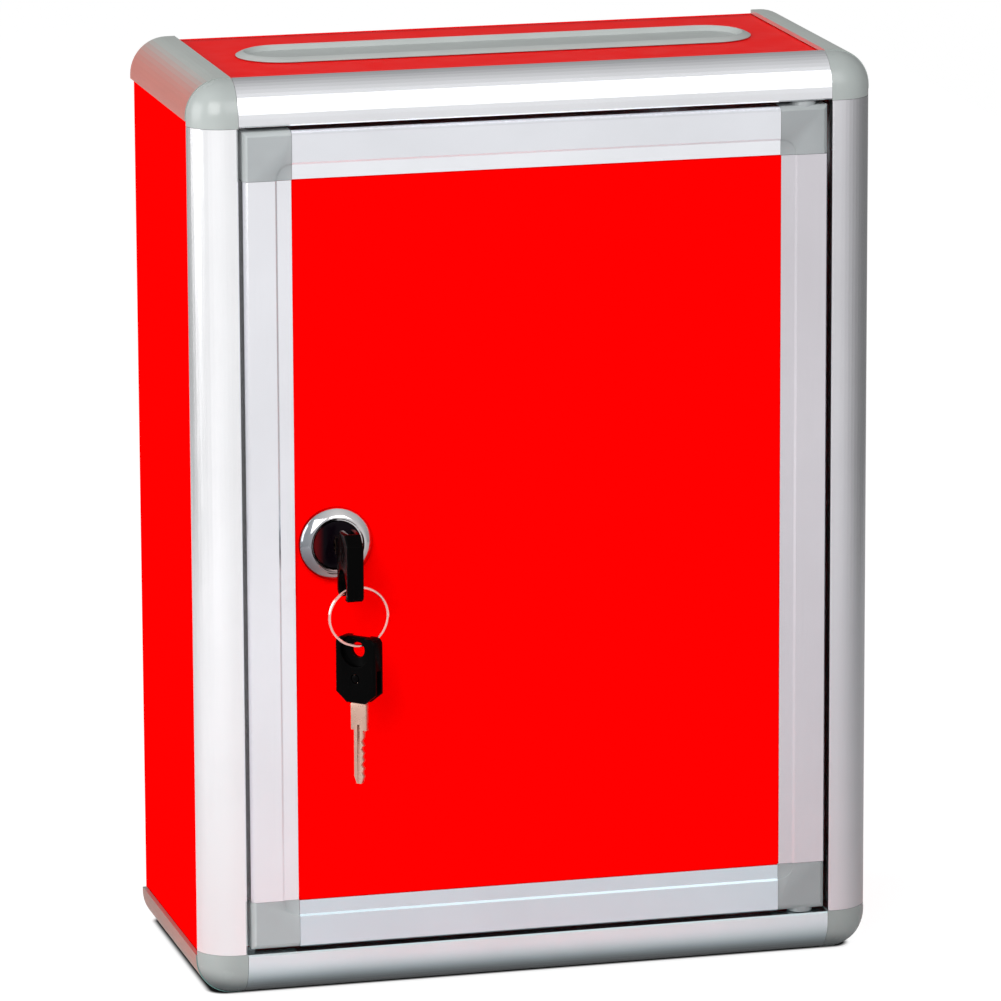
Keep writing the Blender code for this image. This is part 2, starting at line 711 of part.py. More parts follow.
def door_profiles(door, metal):
    """The two stiles and two rails of the door, between its corner blocks."""
    low = DOOR_BOTTOM + STILE_FACE + SEAT_GAP
    high = DOOR_TOP - STILE_FACE - SEAT_GAP
    for name, side in (("left", -1), ("right", 1)):
        loops = flipped(stile_section(), -side, 1)
        piece = outline_curve(f"door_stile_{name}", loops, high - low)
        settle(piece, (side * DOOR_SIDE, 0, (low + high) / 2), door, metal, PLANE_TURNS["XY"])
    span = 2 * (DOOR_SIDE - STILE_FACE - SEAT_GAP)
    for name, end, outer in (("top", 1, DOOR_TOP), ("bottom", -1, DOOR_BOTTOM)):
        loops = swapped(flipped(stile_section(), -end, 1))
        piece = outline_curve(f"door_rail_{name}", loops, span)
        settle(piece, (0, 0, outer), door, metal, PLANE_TURNS["YZ"])


def door_corner(name, side, end, door, plastic):
    """A door corner block with its two spigots. On the hinge side it has the pivot's boss and bore."""
    outer = (side * DOOR_SIDE, 0.0, DOOR_TOP if end > 0 else DOOR_BOTTOM)
    near = SEAT_GAP / 10
    shape = box_shape((0, 0, 0), (STILE_FACE, DOOR_THICKNESS, STILE_FACE))
    bevel_edges(shape, lambda p: p.y < near and min(p.x, p.z) < near, STILE_FRONT_CHAMFER, 1)
    rear = DOOR_THICKNESS - near
    bevel_edges(shape, lambda p: p.y > rear and min(p.x, p.z) < near, STILE_REAR_CHAMFER, 1)
    mirror_shape(shape, -side, -end)
    piece = settle(as_object(name, shape), outer, door, plastic)

    lip_back = STEP_DROP + DOOR_LIP
    pocket = box_shape(
        (STILE_GROOVE, lip_back, STILE_GROOVE),
        (STILE_FACE + CUT_OVERRUN, lip_back + GROOVE_WIDTH, STILE_FACE + CUT_OVERRUN),
    )
    mirror_shape(pocket, -side, -end)
    change(piece, "DIFFERENCE", settle(as_object(f"{name}_pocket", pocket), outer, door))

    step_radius = STILE_FACE - STEP_START - STEP_RUN / 2
    step = rod(f"{name}_step", step_radius, -STEP_DROP, CUT_OVERRUN, ARC_STEPS)
    inner = (outer[0] - side * STILE_FACE, 0.0, outer[2] - end * STILE_FACE)
    settle(step, inner, door, turn=FACING_FRONT)
    change(piece, "DIFFERENCE", step)

    slack = STILE_WALL + SEAT_GAP
    far = STILE_GROOVE - slack
    back = DOOR_THICKNESS - slack
    root = STILE_FACE - SPIGOT_ROOT
    tip = STILE_FACE + DOOR_SPIGOT_LENGTH
    pegs = {
        "stile_peg": ((slack, slack, root), (far, back, tip)),
        "rail_peg": ((root, slack, slack), (tip, back, far)),
    }
    for label, (low, high) in pegs.items():
        peg = box_shape(low, high)
        mirror_shape(peg, -side, -end)
        change(piece, "UNION", settle(as_object(f"{name}_{label}", peg), outer, door))

    if side > 0:
        turn = (0.0, 0.0, 0.0) if end > 0 else (math.pi, 0.0, 0.0)
        place = (PIVOT_X, PIVOT_Y, outer[2])
        boss = rod(f"{name}_boss", BOSS_RADIUS, -SPIGOT_ROOT, DOOR_GAP - SEAT_GAP, PIN_STEPS + LOCK_STEPS // 4)
        settle(boss, place, door, turn=turn)
        change(piece, "UNION", boss)
        bore_end = -PIN_IN_DOOR - SEAT_GAP
        bore = rod(f"{name}_bore", PIN_RADIUS + SEAT_GAP, bore_end, DOOR_GAP + CUT_OVERRUN, PIN_STEPS)
        settle(bore, place, door, turn=turn)
        change(piece, "DIFFERENCE", bore)


def door_corners(door, plastic, steel):
    """The four corner blocks of the door and the two pins that it turns on."""
    for end_name, end in (("top", 1), ("bottom", -1)):
        for side_name, side in (("left", -1), ("right", 1)):
            door_corner(f"door_corner_{end_name}_{side_name}", side, end, door, plastic)
        outer = DOOR_TOP if end > 0 else DOOR_BOTTOM
        turn = (0.0, 0.0, 0.0) if end > 0 else (math.pi, 0.0, 0.0)
        pin = rod(f"pivot_pin_{end_name}", PIN_RADIUS, -PIN_IN_DOOR, DOOR_GAP + PIN_IN_FRAME, PIN_STEPS)
        settle(pin, (PIVOT_X, PIVOT_Y, outer), door, steel, turn)
        smooth(pin)


def door_panel(door, red):
    """The door's red panel, with the round hole for the lock."""
    edge = STILE_GROOVE + SEAT_GAP
    low = (edge - DOOR_SIDE, DOOR_PANEL_FACE, DOOR_BOTTOM + edge)
    high = (DOOR_SIDE - edge, DOOR_PANEL_FACE + PANEL_THICKNESS, DOOR_TOP - edge)
    panel = settle(box("door_panel", low, high), (0, 0, 0), door, red)
    back = -DOOR_PANEL_FACE - PANEL_THICKNESS - CUT_OVERRUN
    hole = rod("lock_hole", BARREL_RADIUS + SEAT_GAP, back, CUT_OVERRUN, LOCK_STEPS)
    settle(hole, (LOCK_X, 0, LOCK_HEIGHT), door, turn=FACING_FRONT)
    change(panel, "DIFFERENCE", hole)


def lock_case(door, chrome, steel):
    """The chrome bezel with its barrel, and the nut that clamps it behind the door panel.

    Heights along the lock's axis are taken towards the viewer from the front plane."""
    axis = (LOCK_X, 0, LOCK_HEIGHT)
    front = -BEZEL_FRONT
    base = SEAT_GAP - DOOR_PANEL_FACE
    bore = PLUG_RADIUS + SEAT_GAP
    rear = SEAT_GAP - PLUG_REAR
    profile = [
        (BEZEL_LAND_RADIUS, front),
        (BEZEL_TOP_RADIUS, front),
        (BEZEL_RADIUS, base + BEZEL_EDGE),
        (BEZEL_RADIUS, base),
        (BARREL_RADIUS, base),
        (BARREL_RADIUS, rear),
        (bore, rear),
        (bore, -PLUG_FACE),
    ]
    settle(turned("lock_body", profile, LOCK_STEPS, closed=True), axis, door, chrome, FACING_FRONT)
    corner_radius = NUT_ACROSS_FLATS / 2 / math.cos(math.pi / 6)
    loops = [circle(0, 0, corner_radius, 6), circle(0, 0, BARREL_RADIUS + SEAT_GAP, LOCK_STEPS)]
    nut_front = DOOR_PANEL_FACE + PANEL_THICKNESS + SEAT_GAP
    place = (LOCK_X, nut_front + NUT_THICKNESS / 2, LOCK_HEIGHT)
    settle(outline_curve("lock_nut", loops, NUT_THICKNESS), place, door, steel, PLANE_TURNS["XZ"])


def lock_works(plug, chrome, steel):
    """The turning plug with its keyway, the cam on its square tail, and the cam's screw."""
    axis = (LOCK_X, 0, LOCK_HEIGHT)
    profile = [(0.0, -PLUG_FACE), (PLUG_RADIUS, -PLUG_FACE), (PLUG_RADIUS, -PLUG_REAR), (0.0, -PLUG_REAR)]
    body = settle(turned("lock_plug", profile, LOCK_STEPS), axis, plug, chrome, FACING_FRONT)
    cam_front = PLUG_REAR + SEAT_GAP
    cam_back = cam_front + CAM_THICKNESS
    half = CAM_SQUARE / 2
    tail = box("plug_tail", (-half, PLUG_REAR - SPIGOT_ROOT, -half), (half, cam_back - SEAT_GAP, half))
    change(body, "UNION", settle(tail, axis, plug))
    side = BLADE_THICKNESS / 2 + SEAT_GAP
    low = (-side, PLUG_FACE - CUT_OVERRUN, -BLADE_EDGE - SEAT_GAP)
    high = (side, PLUG_FACE + BLADE_INSERT + SEAT_GAP, BLADE_BACK + SEAT_GAP)
    change(body, "DIFFERENCE", settle(box("keyway", low, high), axis, plug))
    screw_tip = cam_back + SEAT_GAP - CAM_SCREW_ENGAGE
    bore = rod("cam_screw_bore", CAM_SCREW_RADIUS + SEAT_GAP, -cam_back - CUT_OVERRUN, SEAT_GAP - screw_tip, PIN_STEPS)
    change(body, "DIFFERENCE", settle(bore, axis, plug, turn=FACING_FRONT))

    arm = CAM_REACH - CAM_HALF_WIDTH
    outline = arc(0, 0, CAM_HALF_WIDTH, 0, 180, EDGE_STEPS) + arc(0, -arm, CAM_HALF_WIDTH, 180, 360, EDGE_STEPS)
    hole = half + SEAT_GAP
    square = [(-hole, -hole), (hole, -hole), (hole, hole), (-hole, hole)]
    cam = outline_curve("lock_cam", [outline, square], CAM_THICKNESS)
    place = (LOCK_X, (cam_front + cam_back) / 2, LOCK_HEIGHT)
    settle(cam, place, plug, steel, PLANE_TURNS["XZ"])

    under_head = -cam_back - SEAT_GAP
    screw = [
        (0.0, -screw_tip),
        (CAM_SCREW_RADIUS, -screw_tip),
        (CAM_SCREW_RADIUS, under_head),
        (CAM_SCREW_HEAD_RADIUS, under_head),
        (CAM_SCREW_HEAD_RADIUS, under_head - CAM_SCREW_HEAD_HEIGHT),
        (0.0, under_head - CAM_SCREW_HEAD_HEIGHT),
    ]
    settle(turned("cam_screw", screw, PIN_STEPS), axis, plug, steel, FACING_FRONT)


def blade_loop():
    """Outline of a key blade from its rivet: across, and along towards the tip. Its cuts are at -X."""
    tip = SHOULDER + BLADE_INSERT
    outline = arc(0, 0, TANG_RADIUS, 360, 180, HOLE_STEPS // 2)
    outline += [(-TANG_RADIUS, SHANK_START), (-SHANK_HALF_WIDTH, SHANK_START), (-SHANK_HALF_WIDTH, SHOULDER)]
    outline += [(-BLADE_EDGE, SHOULDER)]
    pitch = NOTCH_PITCH_SHARE * BLADE_INSERT
    for number, share in enumerate(NOTCH_DEPTH_SHARES):
        start = SHOULDER + NOTCH_START_SHARE * BLADE_INSERT + number * pitch
        outline += [(-BLADE_EDGE, start), (share * BLADE_EDGE - BLADE_EDGE, start + pitch / 2)]
    taper = tip - BLADE_TIP_SHARE * BLADE_INSERT
    outline += [(-BLADE_EDGE, taper), (-BLADE_EDGE / 2, tip), (BLADE_BACK / 2, tip), (BLADE_BACK, taper)]
    outline += [(BLADE_BACK, SHOULDER), (SHANK_HALF_WIDTH, SHOULDER), (SHANK_HALF_WIDTH, SHANK_START)]
    outline += [(TANG_RADIUS, SHANK_START)]
    return [outline, circle(0, 0, RIVET_RADIUS + SEAT_GAP, HOLE_STEPS)]


def key_blade(name, carrier, place, turn, steel):
    """A flat key blade, its outline in its own XZ plane about the rivet."""
    stand = Matrix(turn) @ Matrix.Rotation(math.pi / 2, 3, "X")
    piece = outline_curve(name, blade_loop(), BLADE_THICKNESS)
    return settle(piece, place, carrier, steel, stand.to_euler())


def key_head(number, carrier, place, turn, plastic, steel):
    """A moulded key head with the slot that its blade folds through, its ring hole and its rivet."""
    name = f"key_{number}_head"
    half = HEAD_WIDTH / 2
    radius = HEAD_CORNER_RADIUS
    foot = -HEAD_BELOW_PIVOT
    outline = [(-HEAD_END_HALF_WIDTH, HEAD_ABOVE_PIVOT), (-half, HEAD_ABOVE_PIVOT - HEAD_TAPER)]
    outline += arc(radius - half, foot + radius, radius, 180, 270, EDGE_STEPS // 2)
    outline += arc(half - radius, foot + radius, radius, 270, 360, EDGE_STEPS // 2)
    outline += [(half, HEAD_ABOVE_PIVOT - HEAD_TAPER), (HEAD_END_HALF_WIDTH, HEAD_ABOVE_PIVOT)]
    stand = (Matrix(turn) @ Matrix.Rotation(math.pi / 2, 3, "X")).to_euler()
    piece = settle(outline_solid(name, [outline], HEAD_THICKNESS), place, carrier, plastic, stand)
    easing = piece.modifiers.new("eased_edges", "BEVEL")
    easing.width = HEAD_EDGE_BEVEL
    easing.segments = 1
    easing.limit_method = "ANGLE"
    easing.angle_limit = math.radians(60)

    swing = -TANG_RADIUS - SEAT_GAP
    wide = BLADE_THICKNESS / 2 + SEAT_GAP
    low = (-half - CUT_OVERRUN, swing, -wide)
    high = (-swing, HEAD_ABOVE_PIVOT + CUT_OVERRUN, wide)
    change(piece, "DIFFERENCE", settle(box(f"{name}_slot", low, high), place, carrier, turn=stand))
    reach = HEAD_THICKNESS / 2 + CUT_OVERRUN
    rivet_hole = rod(f"{name}_rivet_hole", RIVET_RADIUS + SEAT_GAP, -reach, reach, HOLE_STEPS)
    change(piece, "DIFFERENCE", settle(rivet_hole, place, carrier, turn=stand))

    hole_shift = Matrix(turn) @ Vector((0, 0, -RING_HOLE_FROM_PIVOT))
    hole_place = Vector(place) + hole_shift
    hole = rod(f"{name}_ring_hole", RING_HOLE_RADIUS, -reach, reach, HOLE_STEPS)
    change(piece, "DIFFERENCE", settle(hole, hole_place, carrier, turn=stand))
    for label, low_end, high_end in (("front", RING_WEB / 2, reach), ("back", -reach, -RING_WEB / 2)):
        recess = rod(f"{name}_{label}_recess", RING_RECESS_RADIUS, low_end, high_end, HOLE_STEPS)
        change(piece, "DIFFERENCE", settle(recess, hole_place, carrier, turn=stand))

    rivet = rod(f"key_{number}_pin", RIVET_RADIUS, -HEAD_THICKNESS / 2, HEAD_THICKNESS / 2, HOLE_STEPS)
    settle(rivet, place, carrier, steel, stand)
    smooth(rivet)


def key_ring(ring, steel):
    """The wire ring that joins the two keys, parallel to the door."""
    curve = bpy.data.curves.new("key_ring", "CURVE")
    curve.dimensions = "3D"
    curve.bevel_depth = RING_WIRE_RADIUS
    curve.bevel_resolution = 2
    spline = curve.splines.new("POLY")
    points = circle(0, 0, RING_RADIUS, RING_POINTS)
    spline.points.add(len(points) - 1)
    for point, (across, up) in zip(spline.points, points):
        point.co = (across, 0, up, 1)
    spline.use_cyclic_u = True
    piece = bpy.data.objects.new("key_ring", curve)
    settle(piece, (RING_X, KEY_PIVOT_Y, RING_CENTRE_Z), ring, steel)


def keys(plug, black, steel):
    """The key in the lock, its folded head, the ring on it and the spare key that hangs from the ring."""
    pivot = (LOCK_X, KEY_PIVOT_Y, LOCK_HEIGHT)
    key_1 = anchor("key_1", pivot, plug)
    head_turn = Matrix.Rotation(-math.pi / 2, 3, "Z")
    blade_turn = head_turn @ Matrix.Rotation(-math.pi / 2, 3, "Y")
    key_blade("key_1_blade", key_1, pivot, blade_turn, steel)
    head_1 = anchor("key_1_fold", pivot, key_1)
    key_head(1, head_1, pivot, head_turn, black, steel)

    ring = anchor("ring_swing", (LOCK_X, KEY_PIVOT_Y, RING_TOP_Z), head_1)
    key_ring(ring, steel)

    hanger = anchor("key_2_swing", (RING_X, KEY_PIVOT_Y, RING_BOTTOM_Z), ring)
    spare_pivot = (RING_X, KEY_PIVOT_Y, SPARE_HOLE_Z - RING_HOLE_FROM_PIVOT)
    yaw = Matrix.Rotation(math.radians(SPARE_KEY_YAW_DEG), 3, "Z")
    spare_turn = yaw @ Matrix.Rotation(math.pi, 3, "Y")
    key_head(2, hanger, spare_pivot, spare_turn, black, steel)
    spare_fold = anchor("key_2_fold", spare_pivot, hanger)
    key_blade("key_2_blade", spare_fold, spare_pivot, spare_turn, steel)


def main():
    """Builds the box, piece by piece."""
    start_scene()
    red = finish("red_panel", (0.83, 0.004, 0.002), 0.0, 0.35)
    front_metal = finish("anodised_profile", (0.80, 0.80, 0.82), 0.9, 0.35)
    grey = finish("grey_moulding", (0.42, 0.45, 0.45), 0.0, 0.40)
    trim_grey = finish("trim_moulding", (0.50, 0.53, 0.53), 0.0, 0.35)
    steel = finish("steel", (0.62, 0.60, 0.57), 1.0, 0.30)
    chrome = finish("chrome", (0.80, 0.80, 0.80), 1.0, 0.08)
    black = finish("black_plastic", (0.010, 0.010, 0.010), 0.0, 0.30)

    box_frame = anchor("box_frame", (0.0, 0.0, 0.0))
    box_frame.location.y = (FRONT_REACH - DEPTH) / 2
    front_profiles(box_frame, front_metal)
    depth_profiles(box_frame, front_metal)
    corners(box_frame, grey)
    carcass_panels(box_frame, red)
    slot_trim(box_frame, trim_grey)
    back_panel(box_frame, red, steel)

    door = anchor("door_hinge", (PIVOT_X, PIVOT_Y, DOOR_BOTTOM), box_frame)
    door_profiles(door, front_metal)
    door_corners(door, grey, steel)
    door_panel(door, red)
    lock_case(door, chrome, steel)

    plug = anchor("lock_turn", (LOCK_X, 0.0, LOCK_HEIGHT), door)
    lock_works(plug, chrome, steel)
    keys(plug, black, steel)


main()
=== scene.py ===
"""Dresses and lights the suggestion box, with a finer lock, keys, ring, screws, corners and slot trim.

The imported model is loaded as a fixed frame. Most of its pieces keep their shape and get finishes here, and
the rest are stood in for by finer pieces. Metres, +Z up, the door towards -Y.
"""

import logging
import math
from collections.abc import Callable, Sequence
from dataclasses import dataclass
from enum import Enum

import bmesh
import bpy
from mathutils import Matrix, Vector


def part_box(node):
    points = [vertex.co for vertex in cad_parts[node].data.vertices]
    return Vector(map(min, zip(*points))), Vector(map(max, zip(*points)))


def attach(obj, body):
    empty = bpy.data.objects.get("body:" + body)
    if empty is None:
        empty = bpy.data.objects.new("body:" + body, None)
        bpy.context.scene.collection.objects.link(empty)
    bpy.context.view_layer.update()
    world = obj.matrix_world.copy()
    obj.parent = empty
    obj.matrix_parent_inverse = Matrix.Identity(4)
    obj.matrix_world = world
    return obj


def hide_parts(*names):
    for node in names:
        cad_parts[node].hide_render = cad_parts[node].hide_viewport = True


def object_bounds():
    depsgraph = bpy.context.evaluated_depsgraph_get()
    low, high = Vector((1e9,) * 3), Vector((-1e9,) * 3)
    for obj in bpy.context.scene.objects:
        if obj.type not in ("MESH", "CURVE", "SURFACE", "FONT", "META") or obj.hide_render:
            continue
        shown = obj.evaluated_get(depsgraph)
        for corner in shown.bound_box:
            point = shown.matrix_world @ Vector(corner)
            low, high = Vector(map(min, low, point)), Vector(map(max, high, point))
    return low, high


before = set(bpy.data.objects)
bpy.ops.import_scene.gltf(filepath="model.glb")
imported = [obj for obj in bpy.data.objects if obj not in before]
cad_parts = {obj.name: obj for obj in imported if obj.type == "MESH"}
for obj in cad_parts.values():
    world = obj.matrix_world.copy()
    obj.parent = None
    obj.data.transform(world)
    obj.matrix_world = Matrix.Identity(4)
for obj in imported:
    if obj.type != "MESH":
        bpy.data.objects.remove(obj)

LOG = logging.getLogger("suggestion_box")
CAD_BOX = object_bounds()

# Short names for types
Material = bpy.types.Material
Piece = bpy.types.Object
Socket = bpy.types.NodeSocket
Triple = tuple[float, float, float]
Pairs = tuple[tuple[float, float], ...]
Planes = tuple[tuple[int, float], ...]
Levels = tuple[tuple[str, float], ...]

# Modelling: the nearest that two points may be, what counts as flat, as smooth and as square on, and the
# facets of rounds
MERGE = 0.000005
FLAT_DEG = 0.5
SMOOTH_DEG = 32.0
SQUARE_ON = 0.99
ROUND_STEPS = 96
LATHE_STEPS = 120

# Axes, directions, and the same along every axis
X, Y, Z = range(3)
RIGHT = (1.0, 0.0, 0.0)
LEFT = (-1.0, 0.0, 0.0)
FRONT = (0.0, -1.0, 0.0)
BACK = (0.0, 1.0, 0.0)
UP = (0.0, 0.0, 1.0)
EVEN = (1.0, 1.0, 1.0)

# The values between which a noise pattern mostly stays
NOISE_RANGE = (0.3, 0.7)


class Run(Enum):
    """The way a profile was drawn, along which its die lines lie."""

    ALONG_X = (0.02, 1.0, 1.0)
    ALONG_Y = (1.0, 0.02, 1.0)
    ALONG_Z = (1.0, 1.0, 0.02)


class Grip(Enum):
    """What is picked in edit mode."""

    POINTS = "VERT"
    EDGES = "EDGE"
    FACES = "FACE"


class Guide(Enum):
    """What painted light or shade follows: a point's place, or the way that its surface faces."""

    PLACE = "Object"
    FACING = "Normal"


@dataclass(frozen=True)
class Fade:
    """A painted change of light or shade: none before its start, and a share of each channel past its end.
    """

    along: Triple
    start: float
    end: float
    share: Triple
    guide: Guide = Guide.PLACE


@dataclass(frozen=True)
class Pattern:
    """A noise pattern: how fine it is, and how many finer layers it has."""

    scale: float
    detail: float


@dataclass(frozen=True)
class Texture:
    """The fine structure of a finish: an uneven tone, patches of roughness and a relief.

    The tone runs between two shares of the finish's colour, and its roughness between two added values."""

    cloud: Pattern
    tone: tuple[float, float]
    patches: Pattern
    rougher: tuple[float, float]
    relief: Pattern
    height: float


DIE_LINES = Texture(
    cloud=Pattern(24.0, 3.0),
    tone=(0.97, 1.03),
    patches=Pattern(2600.0, 2.0),
    rougher=(-0.02, 0.03),
    relief=Pattern(2600.0, 2.0),
    height=0.00001,
)
ORANGE_PEEL = Texture(
    cloud=Pattern(14.0, 4.0),
    tone=(0.985, 1.0),
    patches=Pattern(90.0, 3.0),
    rougher=(-0.03, 0.04),
    relief=Pattern(900.0, 2.0),
    height=0.00003,
)
MOULDED_GRAIN = Texture(
    cloud=Pattern(60.0, 3.0),
    tone=(0.96, 1.04),
    patches=Pattern(160.0, 3.0),
    rougher=(-0.04, 0.06),
    relief=Pattern(2600.0, 2.0),
    height=0.00003,
)
FAINT_WEAR = Texture(
    cloud=Pattern(220.0, 4.0),
    tone=(0.93, 1.02),
    patches=Pattern(700.0, 4.0),
    rougher=(0.0, 0.05),
    relief=Pattern(1500.0, 3.0),
    height=0.00002,
)


class Nodes:
    """A node tree, with short ways to add and join nodes."""

    def __init__(self, tree: bpy.types.NodeTree) -> None:
        """Takes the node tree of a material or a world."""
        self.tree = tree

    def add(self, kind: str, **values: object) -> bpy.types.Node:
        """Adds a node.

        Args:
            kind: the node's type name, without its ShaderNode prefix.
            values: the node's own properties.

        Returns:
            The new node.
        """
        node = self.tree.nodes.new(f"ShaderNode{kind}")
        for key, value in values.items():
            setattr(node, key, value)
        return node

    def join(self, source: Socket, target: Socket) -> None:
        """Joins two sockets."""
        self.tree.links.new(source, target)

    def vector(self, operation: str, value: Socket, *others: Sequence[float]) -> Socket:
        """Works on a vector.

        Args:
            operation: what is done.
            value: the socket with the vector.
            others: the further vectors that the operation takes.

        Returns:
            The socket with the result.
        """
        node = self.add("VectorMath", operation=operation)
        self.join(value, node.inputs[0])
        for number, other in enumerate(others):
            node.inputs[number + 1].default_value = other
        return node.outputs["Value" if operation in ("DOT_PRODUCT", "LENGTH") else "Vector"]

    def smooth(self, value: Socket, start: float, end: float) -> Socket:
        """A soft step of a value, from 0 at its start to 1 at its end."""
        step = self.add("MapRange", interpolation_type="SMOOTHSTEP")
        step.inputs["From Min"].default_value = start
        step.inputs["From Max"].default_value = end
        self.join(value, step.inputs["Value"])
        return step.outputs["Result"]

    def seen(self) -> Socket:
        """Tells whether a ray comes from the camera, straight or through clear matter."""
        path = self.add("LightPath")
        either = self.add("Math", operation="MAXIMUM")
        self.join(path.outputs["Is Camera Ray"], either.inputs[0])
        self.join(path.outputs["Is Transmission Ray"], either.inputs[1])
        return either.outputs[0]

    def mixed(self, share: Socket, *surfaces: Socket) -> Socket:
        """Mixes two surfaces, the first alone at a share of 0 and the second alone at 1."""
        mix = self.add("MixShader")
        self.join(share, mix.inputs["Fac"])
        for number, surface in enumerate(surfaces):
            self.join(surface, mix.inputs[number + 1])
        return mix.outputs[0]


class Shader(Nodes):
    """A material's node tree with its surface."""

    def __init__(self, name: str) -> None:
        """Makes the material under a plain name."""
        self.material = bpy.data.materials.new(name)
        self.material.use_nodes = True
        super().__init__(self.material.node_tree)
        self.surface = self.tree.nodes["Principled BSDF"]

    def set(self, **values: object) -> None:
        """Sets the surface's sockets, with underscores for the spaces in their names."""
        for key, value in values.items():
            self.surface.inputs[key.replace("_", " ")].default_value = value

    def place(self, scale: Triple) -> Socket:
        """Object coordinates, stretched.

        Args:
            scale: how fast a pattern repeats along each axis.

        Returns:
            The socket that carries the coordinates.
        """
        coordinates = self.add("TexCoord")
        mapping = self.add("Mapping")
        mapping.inputs["Scale"].default_value = scale
        self.join(coordinates.outputs["Object"], mapping.inputs["Vector"])
        return mapping.outputs["Vector"]

    def noise(self, where: Socket, pattern: Pattern) -> Socket:
        """A noise pattern.

        Args:
            where: the coordinates.
            pattern: how fine it is.

        Returns:
            The socket with its value.
        """
        texture = self.add("TexNoise")
        texture.inputs["Scale"].default_value = pattern.scale
        texture.inputs["Detail"].default_value = pattern.detail
        self.join(where, texture.inputs["Vector"])
        return texture.outputs["Fac"]

    def roughen(self, value: Socket, low: float, high: float) -> None:
        """Maps a noise pattern to the surface's roughness.

        Args:
            value: the pattern.
            low: the roughness where the pattern is low.
            high: the roughness where it is high.
        """
        mapped = self.add("MapRange")
        mapped.inputs["From Min"].default_value = NOISE_RANGE[0]
        mapped.inputs["From Max"].default_value = NOISE_RANGE[1]
        mapped.inputs["To Min"].default_value = low
        mapped.inputs["To Max"].default_value = high
        self.join(value, mapped.inputs["Value"])
        self.join(mapped.outputs["Result"], self.surface.inputs["Roughness"])

    def tint(
        self,
        value: Socket,
        dark: Triple,
        light: Triple,
        edges: tuple[float, float] = NOISE_RANGE,
        fades: Sequence[Fade] = (),
    ) -> None:
        """Maps a pattern to the surface's colour.

        Args:
            value: the pattern.
            dark: the colour at its low edge.
            light: the colour at its high edge.
            edges: the pattern's low and high edges.
            fades: painted light and shade across the piece.
        """
        ramp = self.add("ValToRGB")
        ramp.color_ramp.elements[0].position = edges[0]
        ramp.color_ramp.elements[0].color = (*dark, 1.0)
        ramp.color_ramp.elements[1].position = edges[1]
        ramp.color_ramp.elements[1].color = (*light, 1.0)
        self.join(value, ramp.inputs["Fac"])
        colour = ramp.outputs["Color"]
        for fade in fades:
            colour = self.faded(colour, fade)
        self.join(colour, self.surface.inputs["Base Color"])

    def faded(self, colour: Socket, fade: Fade) -> Socket:
        """Paints light or shade into a colour, lighter or darker along a direction.

        Args:
            colour: the socket with the colour.
            fade: where the change starts and ends, and how far it goes.

        Returns:
            The socket with the changed colour.
        """
        guide = self.add("TexCoord").outputs[fade.guide.value]
        reach = self.smooth(self.vector("DOT_PRODUCT", guide, fade.along), fade.start, fade.end)
        change = self.vector("MULTIPLY_ADD", reach, [channel - 1.0 for channel in fade.share], EVEN)
        product = self.add("VectorMath", operation="MULTIPLY")
        self.join(colour, product.inputs[0])
        self.join(change, product.inputs[1])
        return product.outputs["Vector"]

    def bump(self, value: Socket, strength: float, depth: float) -> None:
        """Raises the surface by a pattern.

        Args:
            value: the pattern.
            strength: how much of it shows, from 0 to 1.
            depth: the height of the pattern in metres.
        """
        raised = self.add("Bump")
        raised.inputs["Strength"].default_value = strength
        raised.inputs["Distance"].default_value = depth
        self.join(value, raised.inputs["Height"])
        self.join(raised.outputs["Normal"], self.surface.inputs["Normal"])


def shade(colour: Triple, factor: float) -> Triple:
    """A colour made lighter or darker by a factor."""
    return tuple(min(1.0, channel * factor) for channel in colour)


@dataclass(frozen=True)
class Finish:
    """A finish with a fine structure, and with painted shade and painted reflections that stand in for what
    surrounded the box.
    """

    name: str
    colour: Triple
    roughness: float
    fades: tuple[Fade, ...] = ()

    def textured(self, texture: Texture, strength: float, stretch: Triple = EVEN) -> Shader:
        """Makes the material with its tones and its fine structure.

        Args:
            texture: the fine structure.
            strength: how much of its relief shows, from 0 to 1.
            stretch: how fast its fine patterns repeat along each axis.

        Returns:
            The material's shader.
        """
        shader = Shader(self.name)
        darkest, lightest = (shade(self.colour, share) for share in texture.tone)
        smoothest, roughest = (self.roughness + more for more in texture.rougher)
        even = shader.place(EVEN)
        stretched = shader.place(stretch)
        shader.tint(shader.noise(even, texture.cloud), darkest, lightest, fades=self.fades)
        shader.roughen(shader.noise(stretched, texture.patches), smoothest, roughest)
        shader.bump(shader.noise(stretched, texture.relief), strength, texture.height)
        return shader


@dataclass(frozen=True)
class Anodised(Finish):
    """Satin anodised aluminium with the fine die lines of an extrusion."""

    roughness: float = 0.24
    run: Run = Run.ALONG_X
    metallic: float = 1.0
    relief: float = 0.03

    def material(self) -> Material:
        """The finish as a material."""
        shader = self.textured(DIE_LINES, self.relief, self.run.value)
        shader.set(Metallic=self.metallic)
        return shader.material


@dataclass(frozen=True)
class Sheet(Finish):
    """Solid coloured sheet with a faint orange-peel surface."""

    roughness: float = 0.38
    gloss: float = 0.0
    peel: float = 0.06

    def material(self) -> Material:
        """The finish as a material."""
        shader = self.textured(ORANGE_PEEL, self.peel)
        shader.set(Specular_IOR_Level=self.gloss)
        return shader.material


@dataclass(frozen=True)
class Moulding(Finish):
    """Moulded plastic with a fine even grain."""

    roughness: float = 0.42
    gloss: float = 0.5
    grain: float = 0.03

    def material(self) -> Material:
        """The finish as a material."""
        shader = self.textured(MOULDED_GRAIN, self.grain)
        shader.set(Specular_IOR_Level=self.gloss)
        return shader.material


@dataclass(frozen=True)
class Plated(Finish):
    """Plated or plain metal with faint wear."""

    relief: float = 0.05

    def material(self) -> Material:
        """The finish as a material."""
        shader = self.textured(FAINT_WEAR, self.relief)
        shader.set(Metallic=1.0)
        return shader.material


